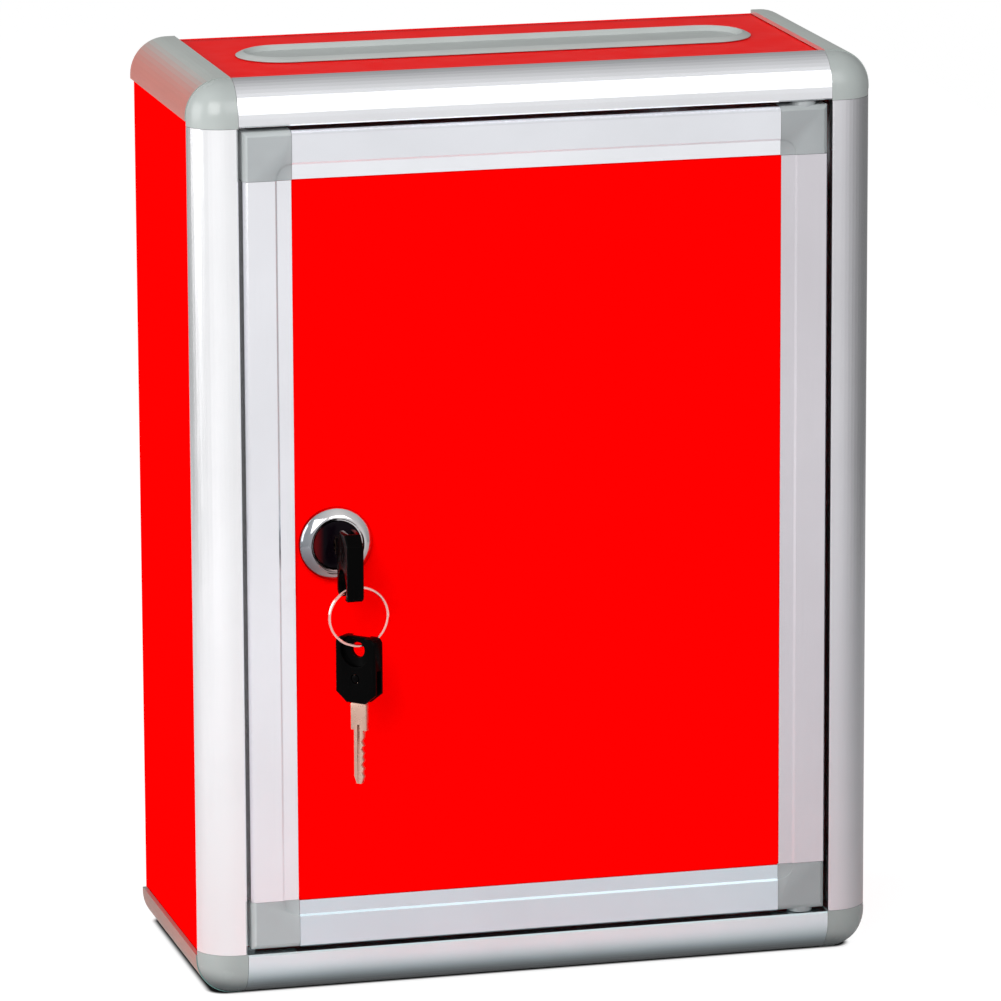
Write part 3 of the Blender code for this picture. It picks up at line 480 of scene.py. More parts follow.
def dress(material: Material, *nodes: str) -> None:
    """Gives CAD nodes a finish.

    Args:
        material: the finish.
        nodes: the nodes' names.
    """
    for name in nodes:
        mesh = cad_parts[name].data
        mesh.materials.clear()
        mesh.materials.append(material)
        LOG.info("dressed %s in %s", name, material.name)


def pick(piece: Piece, grip: Grip, test: Callable[[object], bool]) -> None:
    """Selects the points, edges or faces of a piece in edit mode that pass a test.

    Args:
        piece: the piece in edit mode.
        grip: what is picked.
        test: says of a point, edge or face whether it is picked.
    """
    bpy.ops.mesh.select_mode(type=grip.value)
    bpy.ops.mesh.select_all(action="DESELECT")
    shape = bmesh.from_edit_mesh(piece.data)
    kinds = {Grip.POINTS: shape.verts, Grip.EDGES: shape.edges, Grip.FACES: shape.faces}
    for item in kinds[grip]:
        item.select_set(test(item))
    shape.select_flush_mode()
    bmesh.update_edit_mesh(piece.data)


def pick_all() -> None:
    """Picks all of the piece in edit mode."""
    bpy.ops.mesh.select_all(action="SELECT")


def set_aside() -> None:
    """Leaves edit mode, with no piece selected."""
    if bpy.context.object is not None and bpy.context.object.mode == "EDIT":
        bpy.ops.object.mode_set(mode="OBJECT")
    bpy.ops.object.select_all(action="DESELECT")


def activate(piece: Piece) -> None:
    """Leaves edit mode, with a piece selected and active."""
    set_aside()
    piece.select_set(True)
    bpy.context.view_layer.objects.active = piece


def push(axis: int, distance: float) -> None:
    """Moves what is picked along an axis."""
    shift = [0.0, 0.0, 0.0]
    shift[axis] = distance
    bpy.ops.transform.translate(value=shift)


def opened(name: str) -> Piece:
    """Names the primitive just added, and opens it for editing with all of it picked."""
    piece = bpy.context.active_object
    piece.name = name
    piece.data.name = name
    bpy.ops.object.mode_set(mode="EDIT")
    pick_all()
    return piece


def refined(node: str, name: str) -> Piece:
    """A copy of a CAD node with its loose triangles merged into whole faces, open for editing.

    Args:
        node: the CAD node.
        name: the name of the copy.

    Returns:
        The copy, in edit mode.
    """
    piece = bpy.data.objects.new(name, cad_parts[node].data.copy())
    bpy.context.scene.collection.objects.link(piece)
    activate(piece)
    opened(name)
    bpy.ops.mesh.remove_doubles(threshold=MERGE)
    bpy.ops.mesh.dissolve_limited(angle_limit=math.radians(FLAT_DEG))
    return piece


def ease(
    piece: Piece,
    width: float,
    steps: int = 2,
    sharper_than_deg: float = 30.0,
    spared: Callable[[object], bool] = lambda edge: False,
) -> None:
    """Rounds the sharp edges of a piece in edit mode.

    Args:
        piece: the piece.
        width: how far the rounding reaches from an edge.
        steps: the facets across it.
        sharper_than_deg: the least turn of an edge that is rounded.
        spared: says of an edge whether it stays sharp.
    """
    bpy.ops.mesh.select_mode(type="EDGE")
    bpy.ops.mesh.select_all(action="DESELECT")
    bpy.ops.mesh.edges_select_sharp(sharpness=math.radians(sharper_than_deg))
    shape = bmesh.from_edit_mesh(piece.data)
    for edge in shape.edges:
        if edge.select and spared(edge):
            edge.select_set(False)
    shape.select_flush_mode()
    bmesh.update_edit_mesh(piece.data)
    bpy.ops.mesh.bevel(offset=width, segments=steps, clamp_overlap=True)


def carve(piece: Piece, tool: Piece, operation: str = "DIFFERENCE") -> None:
    """Cuts a tool's shape from a piece, or joins it on, and removes the tool.

    Args:
        piece: the piece.
        tool: the cutting or joining shape.
        operation: the kind of cut.
    """
    step = piece.modifiers.new("carve", "BOOLEAN")
    step.operation = operation
    step.solver = "EXACT"
    step.object = tool
    activate(piece)
    bpy.ops.object.modifier_apply(modifier=step.name)
    bpy.data.objects.remove(tool)


def block(middle: Sequence[float], size: Sequence[float], yaw_deg: float = 0.0) -> Piece:
    """A plain box to cut with.

    Args:
        middle: its middle.
        size: its three sides.
        yaw_deg: how far it is turned about the vertical.

    Returns:
        The box, in object mode.
    """
    set_aside()
    turn = (0.0, 0.0, math.radians(yaw_deg))
    bpy.ops.mesh.primitive_cube_add(size=1.0, location=middle, rotation=turn)
    tool = bpy.context.active_object
    tool.scale = size
    bpy.ops.object.transform_apply(location=True, rotation=True, scale=True)
    return tool


def oblong(name: str, middle: Sequence[float], length: float, width: float, height: float) -> Piece:
    """A slab with round ends along X, standing on its middle point, open for editing.

    Args:
        name: its name.
        middle: the middle of its underside.
        length: its whole length.
        width: its width.
        height: its height.

    Returns:
        The slab, in edit mode.
    """
    set_aside()
    bpy.ops.mesh.primitive_circle_add(vertices=ROUND_STEPS, radius=width / 2, fill_type="NGON")
    piece = opened(name)
    half_step = math.pi / ROUND_STEPS
    bpy.ops.transform.rotate(value=half_step, orient_axis="Z", center_override=(0.0, 0.0, 0.0))
    straight = (length - width) / 2
    for side in (-1, 1):
        pick(piece, Grip.POINTS, lambda point: point.co.x * side > 0)
        push(X, side * straight)
    pick_all()
    bpy.ops.transform.translate(value=tuple(middle))
    bpy.ops.mesh.select_mode(type="FACE")
    pick_all()
    bpy.ops.mesh.extrude_region_move(TRANSFORM_OT_translate={"value": (0.0, 0.0, height)})
    pick_all()
    bpy.ops.mesh.normals_make_consistent(inside=False)
    return piece


def lathe(name: str, profile: Sequence[tuple[float, float]], axis_x: float, axis_z: float) -> Piece:
    """A ring turned about an axis that runs into the box, open for editing.

    Args:
        name: its name.
        profile: its closed section as pairs of radius and Y.
        axis_x: where the axis is across the box.
        axis_z: how high the axis is.

    Returns:
        The ring, in edit mode.
    """
    set_aside()
    bpy.ops.mesh.primitive_plane_add(size=MERGE)
    piece = opened(name)
    bpy.ops.mesh.select_mode(type="VERT")
    pick_all()
    bpy.ops.mesh.merge(type="CENTER")
    places = [Vector((axis_x + radius, depth, axis_z)) for radius, depth in profile]
    bpy.ops.transform.translate(value=places[0])
    for before, after in zip(places, places[1:] + places[:1]):
        bpy.ops.mesh.extrude_vertices_move(TRANSFORM_OT_translate={"value": after - before})
    pick_all()
    centre = (axis_x, 0.0, axis_z)
    bpy.ops.mesh.spin(steps=LATHE_STEPS, angle=2 * math.pi, center=centre, axis=BACK)
    pick_all()
    bpy.ops.mesh.remove_doubles(threshold=MERGE)
    bpy.ops.mesh.normals_make_consistent(inside=False)
    return piece


def hand_over(piece: Piece, finish: Material, body: str, slot: str, *nodes: str) -> None:
    """Finishes a new piece and says which CAD nodes it stands for.

    Args:
        piece: the piece, in either mode.
        finish: its material.
        body: the body that it rides on.
        slot: the record's material slot; not used.
        nodes: the CAD nodes that it replaces.
    """
    activate(piece)
    bpy.ops.object.transform_apply(location=True, rotation=True, scale=True)
    bpy.ops.object.shade_smooth_by_angle(angle=math.radians(SMOOTH_DEG))
    piece.data.materials.clear()
    piece.data.materials.append(finish)
    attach(piece, body)
    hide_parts(*nodes)
    LOG.info("modelled %s for %s, with %d faces", piece.name, ", ".join(nodes), len(piece.data.polygons))


@dataclass
class SlotTrim:
    """The oval moulding round the posting slot: a softly sloped rim, a dish and a collar under the slot.

    Each slope says how far in and how far up it goes, from the outside in."""

    middle_y: float = 0.0208
    length: float = 0.1712
    width: float = 0.0304
    foot_z: float = 0.2981
    wall: float = 0.0002
    slopes: Pairs = (
        (0.0005, 0.00030),
        (0.0009, 0.00045),
        (0.0012, 0.00035),
        (0.0008, -0.0006),
        (0.0009, -0.0010),
    )
    tub_inset: float = 0.0022
    tub_depth: float = 0.0016
    slot_length: float = 0.140
    slot_width: float = 0.0050
    slot_y: float = 0.01245
    collar_wall: float = 0.0010
    collar_end: float = 0.2918

    def build(self, finish: Material) -> None:
        """Models the moulding.

        Args:
            finish: its material.
        """
        middle = (0.0, self.middle_y, self.foot_z)
        trim = oblong("slot_moulding", middle, self.length, self.width, self.wall)
        pick(trim, Grip.FACES, lambda face: face.normal.z > SQUARE_ON)
        for reach, rise in self.slopes:
            bpy.ops.mesh.inset(thickness=reach, depth=rise)
        pick(trim, Grip.FACES, lambda face: face.normal.z < -SQUARE_ON)
        bpy.ops.mesh.inset(thickness=self.tub_inset, depth=0.0)
        bpy.ops.mesh.extrude_region_move(TRANSFORM_OT_translate={"value": (0.0, 0.0, -self.tub_depth)})
        under = self.foot_z - self.tub_depth
        wide = self.slot_width + 2 * self.collar_wall
        long = self.slot_length + 2 * self.collar_wall
        root = under + self.collar_wall / 2 - self.collar_end
        collar = oblong("collar", (0.0, self.slot_y, self.collar_end), long, wide, root)
        carve(trim, collar, "UNION")
        low = self.collar_end - self.collar_wall
        tall = CAD_BOX[1][Z] + self.collar_wall - low
        slot = oblong("slot", (0.0, self.slot_y, low), self.slot_length, self.slot_width, tall)
        carve(trim, slot)
        hand_over(trim, finish, "carcass", "trim_moulding", "slot_trim")


def seam_planes(across: str, upright: str, *inward: str, gap: float = 0.0003) -> Planes:
    """The planes in which mouldings face the ends of the profiles beside them.

    Args:
        across: a profile that runs from left to right.
        upright: a profile that runs from bottom to top.
        inward: a profile that runs from front to back, where there is one.
        gap: how far a profile's end is from the moulding.

    Returns:
        Each plane's axis and its distance from the frame's origin.
    """
    foot, head = (corner.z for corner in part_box(upright))
    planes = [(X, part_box(across)[1].x + gap), (Z, head + gap), (Z, foot - gap)]
    planes += [(Y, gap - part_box(node)[0].y) for node in inward]
    return tuple(planes)


@dataclass
class EasedCopies:
    """Mouldings and metal pieces that keep their CAD shape and get softly rounded edges.

    A moulding's faces that meet a neighbour across a seam may reach a little nearer to it."""

    body: str
    slot: str
    width: float = 0.00025
    steps: int = 2
    sharper_than_deg: float = 30.0
    seams: Planes = ()
    reach: float = 0.0002
    near: float = 0.00005

    def close_seam(self, piece: Piece, axis: int, place: float) -> None:
        """Moves the flat faces in one plane outwards, towards the neighbour.

        Args:
            piece: the piece in edit mode.
            axis: the plane's axis.
            place: the plane's distance from the frame's origin.
        """
        for way in (-1, 1):
            pick(
                piece,
                Grip.FACES,
                lambda face: face.normal[axis] * way > SQUARE_ON
                and abs(abs(face.calc_center_median()[axis]) - place) < self.near,
            )
            push(axis, way * self.reach)

    def on_seam(self, edge: bmesh.types.BMEdge) -> bool:
        """Tells whether an edge lies on a seam, where no rounding shows."""
        near = self.reach + 2 * self.near
        return any(
            all(abs(abs(point.co[axis]) - place) < near for point in edge.verts)
            for axis, place in self.seams
        )

    def build(self, finish: Material, *nodes: str) -> None:
        """Models a finer copy of each node.

        Args:
            finish: their material.
            nodes: the CAD nodes.
        """
        for node in nodes:
            piece = refined(node, f"{node}_eased")
            for axis, place in self.seams:
                self.close_seam(piece, axis, place)
            ease(piece, self.width, self.steps, self.sharper_than_deg, self.on_seam)
            hand_over(piece, finish, self.body, self.slot, node)


@dataclass
class CrispProfile:
    """A door profile whose chamfered front edge beside the gap is made narrower, as in the photo.

    The axis and the way say on which side of the profile the gap is."""

    axis: int
    way: int
    chamfer: float = 0.0014
    kept: float = 0.0005
    near: float = 0.00005

    def build(self, finish: Material, node: str) -> None:
        """Models a finer copy of the node.

        Args:
            finish: its material.
            node: the CAD node.
        """
        low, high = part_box(node)
        front = low.y
        outer = high[self.axis] if self.way > 0 else low[self.axis]
        inner = outer - self.way * self.chamfer
        spare = self.chamfer - self.kept
        piece = refined(node, f"{node}_crisp")

        def at(point: bmesh.types.BMVert, across: float, depth: float) -> bool:
            """Tells whether a point has a place across the profile and a depth from its front."""
            level = abs(point.co[self.axis] - across) < self.near
            return level and abs(point.co.y - front - depth) < self.near

        pick(piece, Grip.POINTS, lambda point: at(point, inner, 0.0))
        push(self.axis, self.way * spare)
        pick(piece, Grip.POINTS, lambda point: at(point, outer, self.chamfer))
        push(Y, -spare)
        hand_over(piece, finish, "door", "edge_profile", node)
        # The door's profiles have flat faces only, and smooth shading would blur their small step
        piece.data.shade_flat()


@dataclass
class CrossScrew:
    """A countersunk screw with a cross recess, driven in from the back."""

    reach: float = 0.0028
    blade: float = 0.0007
    depth: float = 0.0007
    edge_share: float = 0.125

    def build(self, finish: Material, *nodes: str) -> None:
        """Models each screw.

        Args:
            finish: their material.
            nodes: the CAD nodes of the screws.
        """
        for node in nodes:
            low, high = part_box(node)
            screw = refined(node, f"{node}_crossed")
            ease(screw, self.blade * self.edge_share)
            middle = (low + high) / 2
            middle.y = high.y
            for across, upright in ((self.reach, self.blade), (self.blade, self.reach)):
                carve(screw, block(middle, (across, 2 * self.depth, upright)))
            hand_over(screw, finish, "carcass", "steel", node)


@dataclass
class Carcass:
    """The body of the box: profiles, corners, panels and the posting slot."""

    sides: tuple[str, ...] = ("left", "right")
    ends: tuple[str, ...] = ("top", "bottom")
    screws: int = 4
    # One grey for all corner mouldings; each corner's level is painted light or shade, as the light fell on
    # it.
    corner_tone: Triple = (0.40, 0.435, 0.425)
    corner_light_and_shade: Levels = (
        ("top_left", 0.86),
        ("top_right", 0.86),
        ("bottom_left", 0.77),
        ("bottom_right", 0.64),
    )
    top_gloss: float = 0.40
    bottom_gloss: float = 0.12

    def uprights_and_rails(self) -> None:
        """Dresses the four front profiles in lit and shaded copies of one anodised finish, with painted
        shade towards the right upright's outer edge and on the bottom profile's underside.
        """
        # Painted shade: the right upright darkens towards its outer edge and the bottom profile towards its
        # underside; the four colours are lit and shaded copies of one finish.
        outward = Fade(RIGHT, 0.0985, 0.1120, share=(0.66, 0.67, 0.66))
        underside = Fade(UP, 0.0128, 0.0010, share=(0.12, 0.12, 0.12))
        left = Anodised("anodised_left_upright", (0.93, 0.93, 0.945), run=Run.ALONG_Z)
        right = Anodised("anodised_right_upright", (0.68, 0.67, 0.70), fades=(outward,), run=Run.ALONG_Z)
        crown = Anodised("anodised_crown", (0.80, 0.805, 0.83))
        foot = Anodised("anodised_foot", (0.74, 0.83, 0.86), fades=(underside,))
        dress(left.material(), "front_profile_left")
        dress(right.material(), "front_profile_right")
        dress(crown.material(), "front_profile_top")
        dress(foot.material(), "front_profile_bottom")

    def depth_profiles(self) -> None:
        """Dresses the profiles that run to the back, with painted shade where they face down and on their
        front ends; the left ones also get painted shade towards the bottom and a painted reflection of the
        red that they mirror.
        """
        # Painted reflection: faces turned left take a pink tint for the red side panels; painted shade on
        # faces turned down, near the bottom and on the front ends.
        painted_red_reflection = Fade(LEFT, 0.25, 1.0, share=(1.30, 0.43, 0.37), guide=Guide.FACING)
        down_and_left = (-0.34, 0.0, -1.0)
        painted_downward_shade = Fade(down_and_left, 0.78, 0.97, share=(0.12, 0.12, 0.12), guide=Guide.FACING)
        low = Fade(UP, 0.10, 0.0, share=(0.42, 0.725, 0.71))
        painted_front_end_shade = Fade(FRONT, 0.90, 0.99, share=(0.50, 0.52, 0.52), guide=Guide.FACING)
        side_tones = {"left": (painted_red_reflection, painted_downward_shade, low, painted_front_end_shade), "right": (painted_downward_shade, painted_front_end_shade)}
        for side, tones in side_tones.items():
            name = f"anodised_depth_{side}"
            tone = (0.77, 0.82, 0.78)
            inward = Anodised(name, tone, roughness=0.34, fades=tones, run=Run.ALONG_Y, metallic=0.80)
            dress(inward.material(), *[f"depth_profile_{end}_{side}" for end in self.ends])

    def corners(self) -> None:
        """Models the four corner mouldings in lit and shaded copies of one grey, with painted shade where
        they face down.
        """
        seams = seam_planes("front_profile_top", "front_profile_left", "depth_profile_top_left")
        copies = EasedCopies("carcass", "grey_moulding", width=0.0001, steps=1, seams=seams)
        # Painted shade on faces turned down.
        down_and_left = (-0.20, 0.0, -1.0)
        painted_downward_shade = Fade(down_and_left, 0.30, 0.97, share=(0.15, 0.17, 0.18), guide=Guide.FACING)
        for name, level in self.corner_light_and_shade:
            tone = shade(self.corner_tone, level)
            gloss = self.top_gloss if name.startswith("top") else self.bottom_gloss
            grey = Moulding(f"grey_corner_{name}", tone, roughness=0.22, fades=(painted_downward_shade,), gloss=gloss)
            copies.build(grey.material(), f"corner_{name}")

    def build(self) -> None:
        """Dresses the carcass and models its finer pieces."""
        self.uprights_and_rails()
        self.depth_profiles()
        self.corners()
        trim = Moulding("grey_slot_moulding", (0.40, 0.43, 0.42), roughness=0.36, grain=0.0).material()
        red = Sheet("red_sheet", (0.98, 0.0004, 0.0003)).material()
        # The top sheet is a darker copy of the red sheet, painted shade, and it darkens further over its
        # last millimetres towards the rear edge.
        rear = Fade(BACK, 0.054, 0.0610, share=(0.55, 0.55, 0.55))
        top_red = Sheet("red_top_sheet", (0.91, 0.0010, 0.0008), fades=(rear,), gloss=0.026).material()
        steel = Plated("plated_steel", (0.62, 0.60, 0.57), roughness=0.24).material()
        dress(red, *[f"side_panel_{side}" for side in self.sides], "bottom_panel", "back_panel")
        dress(top_red, "top_panel")
        SlotTrim().build(trim)
        CrossScrew().build(steel, *[f"back_screw_{number + 1}" for number in range(self.screws)])


@dataclass
class Door:
    """The door: stiles, rails, corner blocks, panel and pivots."""

    # One grey for all corner blocks; each block's level is painted light or shade, as the light fell on it.
    block_tone: Triple = (0.355, 0.38, 0.39)
    block_light_and_shade: Levels = (
        ("top_left", 0.94),
        ("top_right", 0.78),
        ("bottom_left", 0.95),
        ("bottom_right", 0.67),
    )

    def stiles_and_rails(self) -> None:
        """Dresses the stiles and rails in lit and shaded copies of one anodised finish with painted light
        and shade, two of them with a crisper edge beside the gap.
        """
        # Painted shade on the left stile's side in the gap, near black; a painted lighter band on the top
        # rail's lip; painted shade where the bottom rail faces up, dimming its step's highlight.
        painted_gap_shade = Fade(LEFT, 0.85, 0.97, share=(0.04, 0.04, 0.05), guide=Guide.FACING)
        painted_lip_light = Fade(UP, 0.2730, 0.2718, share=(1.10, 1.10, 1.09))
        painted_step_shade = Fade(UP, 0.05, 0.70, share=(0.54, 0.54, 0.54), guide=Guide.FACING)
        left = Anodised("anodised_left_stile", (0.87, 0.87, 0.91), fades=(painted_gap_shade,), run=Run.ALONG_Z)
        right = Anodised("anodised_right_stile", (0.69, 0.66, 0.70), run=Run.ALONG_Z)
        top = Anodised("anodised_top_rail", (0.83, 0.84, 0.88), fades=(painted_lip_light,))
        bottom = Anodised("anodised_bottom_rail", (0.655, 0.775, 0.83), fades=(painted_step_shade,))
        dress(left.material(), "door_stile_left")
        CrispProfile(axis=X, way=1).build(right.material(), "door_stile_right")
        dress(top.material(), "door_rail_top")
        CrispProfile(axis=Z, way=-1).build(bottom.material(), "door_rail_bottom")

    def blocks(self) -> None:
        """Models the corner blocks in lit and shaded copies of one grey, with painted light on their small
        slopes.
        """
        # Painted light: faces turned away from the front, such as the small slopes, are made lighter.
        slopes = Fade(FRONT, 0.94, 0.76, share=(1.24, 1.24, 1.22), guide=Guide.FACING)
        seams = seam_planes("door_rail_top", "door_stile_left")
        copies = EasedCopies("door", "grey_moulding", width=0.0001, steps=1, seams=seams)
        for name, level in self.block_light_and_shade:
            grey = Moulding(f"grey_block_{name}", shade(self.block_tone, level), fades=(slopes,))
            copies.build(grey.material(), f"door_corner_{name}")

    def build(self) -> None:
        """Dresses the door and models its finer pieces."""
        self.stiles_and_rails()
        dress(Sheet("red_door_sheet", (1.0, 0.0002, 0.0002)).material(), "door_panel")
        steel = Plated("plated_pin", (0.60, 0.59, 0.57), roughness=0.26).material()
        dress(steel, "pivot_pin_top", "pivot_pin_bottom")
        self.blocks()


@dataclass
class LockCase:
    """The chrome bezel with its threaded barrel.

    The dome's points are pairs of a radius and a height over the seat, from the outside in."""

    axis_x: float = -0.0671
    axis_z: float = 0.149
    seat_y: float = -0.03315
    rear_y: float = -0.01465
    bore: float = 0.0080
    barrel: float = 0.0095
    thread_depth: float = 0.0003
    thread_pitch: float = 0.0010
    dome: Pairs = (
        (0.0120, 0.0000),
        (0.0120, 0.0011),
        (0.0118, 0.0016),
        (0.0112, 0.0022),
        (0.0104, 0.0029),
        (0.0097, 0.0034),
        (0.0092, 0.0037),
        (0.0087, 0.0037),
        (0.0084, 0.0034),
        (0.0083, 0.0028),
    )

    def section(self) -> list[tuple[float, float]]:
        """The closed section, as pairs of radius and Y."""
        outline = [(radius, self.seat_y - height) for radius, height in self.dome]
        outline += [(self.bore, self.seat_y - self.dome[-1][1])]
        root = self.barrel - self.thread_depth
        outline += [(self.bore, self.rear_y), (root, self.rear_y)]
        turns = int((self.rear_y - self.seat_y) / self.thread_pitch) - 1
        for turn in range(turns):
            crest = self.rear_y - (turn + 0.5) * self.thread_pitch
            outline += [(self.barrel, crest), (root, crest - self.thread_pitch / 2)]
        outline += [(root, self.seat_y)]
        return outline

    def build(self, finish: Material) -> None:
        """Models the lock's case.

        Args:
            finish: its material.
        """
        case = lathe("lock_case", self.section(), self.axis_x, self.axis_z)
        hand_over(case, finish, "door", "chrome_lock", "lock_body")


@dataclass
class SplitRing:
    """A key ring of flat wire that runs round twice, with a short crossing between its turns."""

    middle: Triple = (-0.0645, -0.05375, 0.129413)
    radius: float = 0.0095
    wire: float = 0.00040
    squeeze: float = 0.80
    crossing: float = 0.09
    crossing_deg: float = -35.0
    steps: int = 240
    wire_rounds: int = 3

    def place(self, turn: float) -> Vector:
        """The wire's middle after a number of turns from the crossing."""
        into = min(1.0, max(0.0, (turn - 1.0 + self.crossing) / (2 * self.crossing)))
        eased = into * into * (3 - 2 * into)
        angle = math.radians(self.crossing_deg) + 2 * math.pi * turn
        side = self.wire * (2 * eased - 1)
        return Vector((self.radius * math.cos(angle), side, self.radius * math.sin(angle)))

    def build(self, finish: Material) -> None:
        """Models the ring as a bevelled curve, made a mesh.

        Args:
            finish: its material.
        """
        curve = bpy.data.curves.new("split_ring", "CURVE")
        curve.dimensions = "3D"
        curve.bevel_depth = self.wire
        curve.bevel_resolution = self.wire_rounds
        curve.use_fill_caps = True
        spline = curve.splines.new("POLY")
        spline.points.add(self.steps)
        first = self.crossing
        for number, point in enumerate(spline.points):
            turn = first + (2.0 - 2 * first) * number / self.steps
            point.co = (*self.place(turn), 1.0)
        piece = bpy.data.objects.new("split_ring", curve)
        bpy.context.scene.collection.objects.link(piece)
        piece.location = self.middle
        piece.scale = (1.0, self.squeeze, 1.0)
        activate(piece)
        bpy.ops.object.convert(target="MESH")
        hand_over(bpy.context.active_object, finish, "ring", "steel", "key_ring")


@dataclass
class KeyBlade:
    """A flat key blade with a milled groove along each face and eased edges."""

    middle: Triple
    size: Triple
    yaw_deg: float
    sides: tuple[Triple, ...]
    edge: float = 0.00015

    def build(self, finish: Material, node: str, body: str) -> None:
        """Models the blade.

        Args:
            finish: its material.
            node: the CAD node.
            body: the body that it rides on.
        """
        blade = refined(node, f"{node}_milled")
        ease(blade, self.edge)
        for shift in self.sides:
            carve(blade, block(Vector(self.middle) + Vector(shift), self.size, self.yaw_deg))
        hand_over(blade, finish, body, "steel", node)


@dataclass
class LockAndKeys:
    """The cam lock, the key in it, the ring and the spare key."""

    blade_half: float = 0.0009
    groove_depth: float = 0.0002
    groove_width: float = 0.0009
    groove_length: float = 0.0205
    first_blade: Triple = (-0.0671, -0.0280, 0.1490)
    spare_blade: Triple = (-0.0645, -0.05375, 0.0840)
    spare_turn_deg: float = -45.0
    # A brass tone tinted pink, partly a painted reflection of the red door.
    blade_brass_and_red_reflection: Triple = (0.66, 0.43, 0.34)
    blade_roughness: float = 0.26
    metal_edge: float = 0.0002
    nut_edge: float = 0.0004
    head_edge: float = 0.0003
    head_steps: int = 3
    head_sharper_than_deg: float = 20.0

    def lock(self) -> None:
        """Models the lock, with painted reflections that stand in for the room that its chrome mirrors, and
        a dark plug with a painted red reflection.
        """
        # Painted reflections: the chrome darker to the left and below; the dark plug tinted red on its left
        # and near black on its right.
        leftward = Fade(RIGHT, -0.0660, -0.0775, share=(0.42, 0.46, 0.50))
        lower = Fade(UP, 0.1510, 0.1400, share=(0.60, 0.48, 0.47))
        painted_red_plug_reflection = Fade(RIGHT, -0.0746, -0.0712, share=(0.03, 0.6, 0.9))
        chrome = Plated("chrome_plate", (0.66, 0.64, 0.64), roughness=0.09, fades=(leftward, lower))
        dark_tone = (0.085, 0.002, 0.003)
        dark = Moulding("dark_plug", dark_tone, roughness=0.16, fades=(painted_red_plug_reflection,), gloss=0.04, grain=0.02)
        steel = Plated("cam_steel", (0.60, 0.59, 0.57), roughness=0.28).material()
        LockCase().build(chrome.material())
        EasedCopies("door", "steel", self.nut_edge).build(steel, "lock_nut")
        EasedCopies("plug", "chrome_lock", self.metal_edge).build(dark.material(), "lock_plug")
        EasedCopies("plug", "steel", self.metal_edge).build(steel, "lock_cam", "cam_screw")

    def heads(self) -> None:
        """Models the keys' heads and their pins."""
        black_tone = (0.001, 0.001, 0.001)
        black = Moulding("black_gloss_moulding", black_tone, roughness=0.20, gloss=0.02).material()
        rounding = (self.head_edge, self.head_steps, self.head_sharper_than_deg)
        bodies = {"key_1": "key_1_fold_head", "key_2": "key_2"}
        for key, body in bodies.items():
            EasedCopies(body, "black_plastic", *rounding).build(black, f"{key}_head")
        for key, body in bodies.items():
            EasedCopies(body, "steel", self.metal_edge).build(black, f"{key}_pin")

    def blades(self) -> None:
        """Models the keys' blades in a brass tone with a painted red reflection, the first one with painted
        shade that makes it black at its root as in the photo.
        """
        # Painted shade: the first blade turns near black where it meets the head.
        root = Fade(FRONT, 0.0370, 0.0382, share=(0.004, 0.004, 0.005))
        warm = Plated("brass_blade_painted_red_reflection", self.blade_brass_and_red_reflection, self.blade_roughness).material()
        rooted = Plated("blade_with_painted_root_shade", self.blade_brass_and_red_reflection, self.blade_roughness, (root,)).material()
        off = self.blade_half
        slant = off * math.sqrt(0.5)
        sideways = ((off, 0.0, 0.0), (-off, 0.0, 0.0))
        slanted = ((slant, slant, 0.0), (-slant, -slant, 0.0))
        deep = 2 * self.groove_depth
        lying = (deep, self.groove_length, self.groove_width)
        hanging = (self.groove_width, deep, self.groove_length)
        first = KeyBlade(self.first_blade, lying, yaw_deg=0.0, sides=sideways)
        spare = KeyBlade(self.spare_blade, hanging, self.spare_turn_deg, sides=slanted)
        first.build(rooted, "key_1_blade", "key_1")
        spare.build(warm, "key_2_blade", "key_2_fold_blade")

    def build(self) -> None:
        """Models and dresses the lock and the keys."""
        self.lock()
        self.heads()
        self.blades()
        # The ring is nickel tinted pink, a painted reflection of the red door.
        SplitRing().build(Plated("nickel_ring_painted_red_reflection", (0.90, 0.50, 0.45), roughness=0.14).material())


@dataclass(frozen=True)
class Lamp:
    """A square soft lamp: its name, place, side, power in watts and colour."""

    name: str
    place: Triple
    size: float
    power: float
    colour: Triple = EVEN


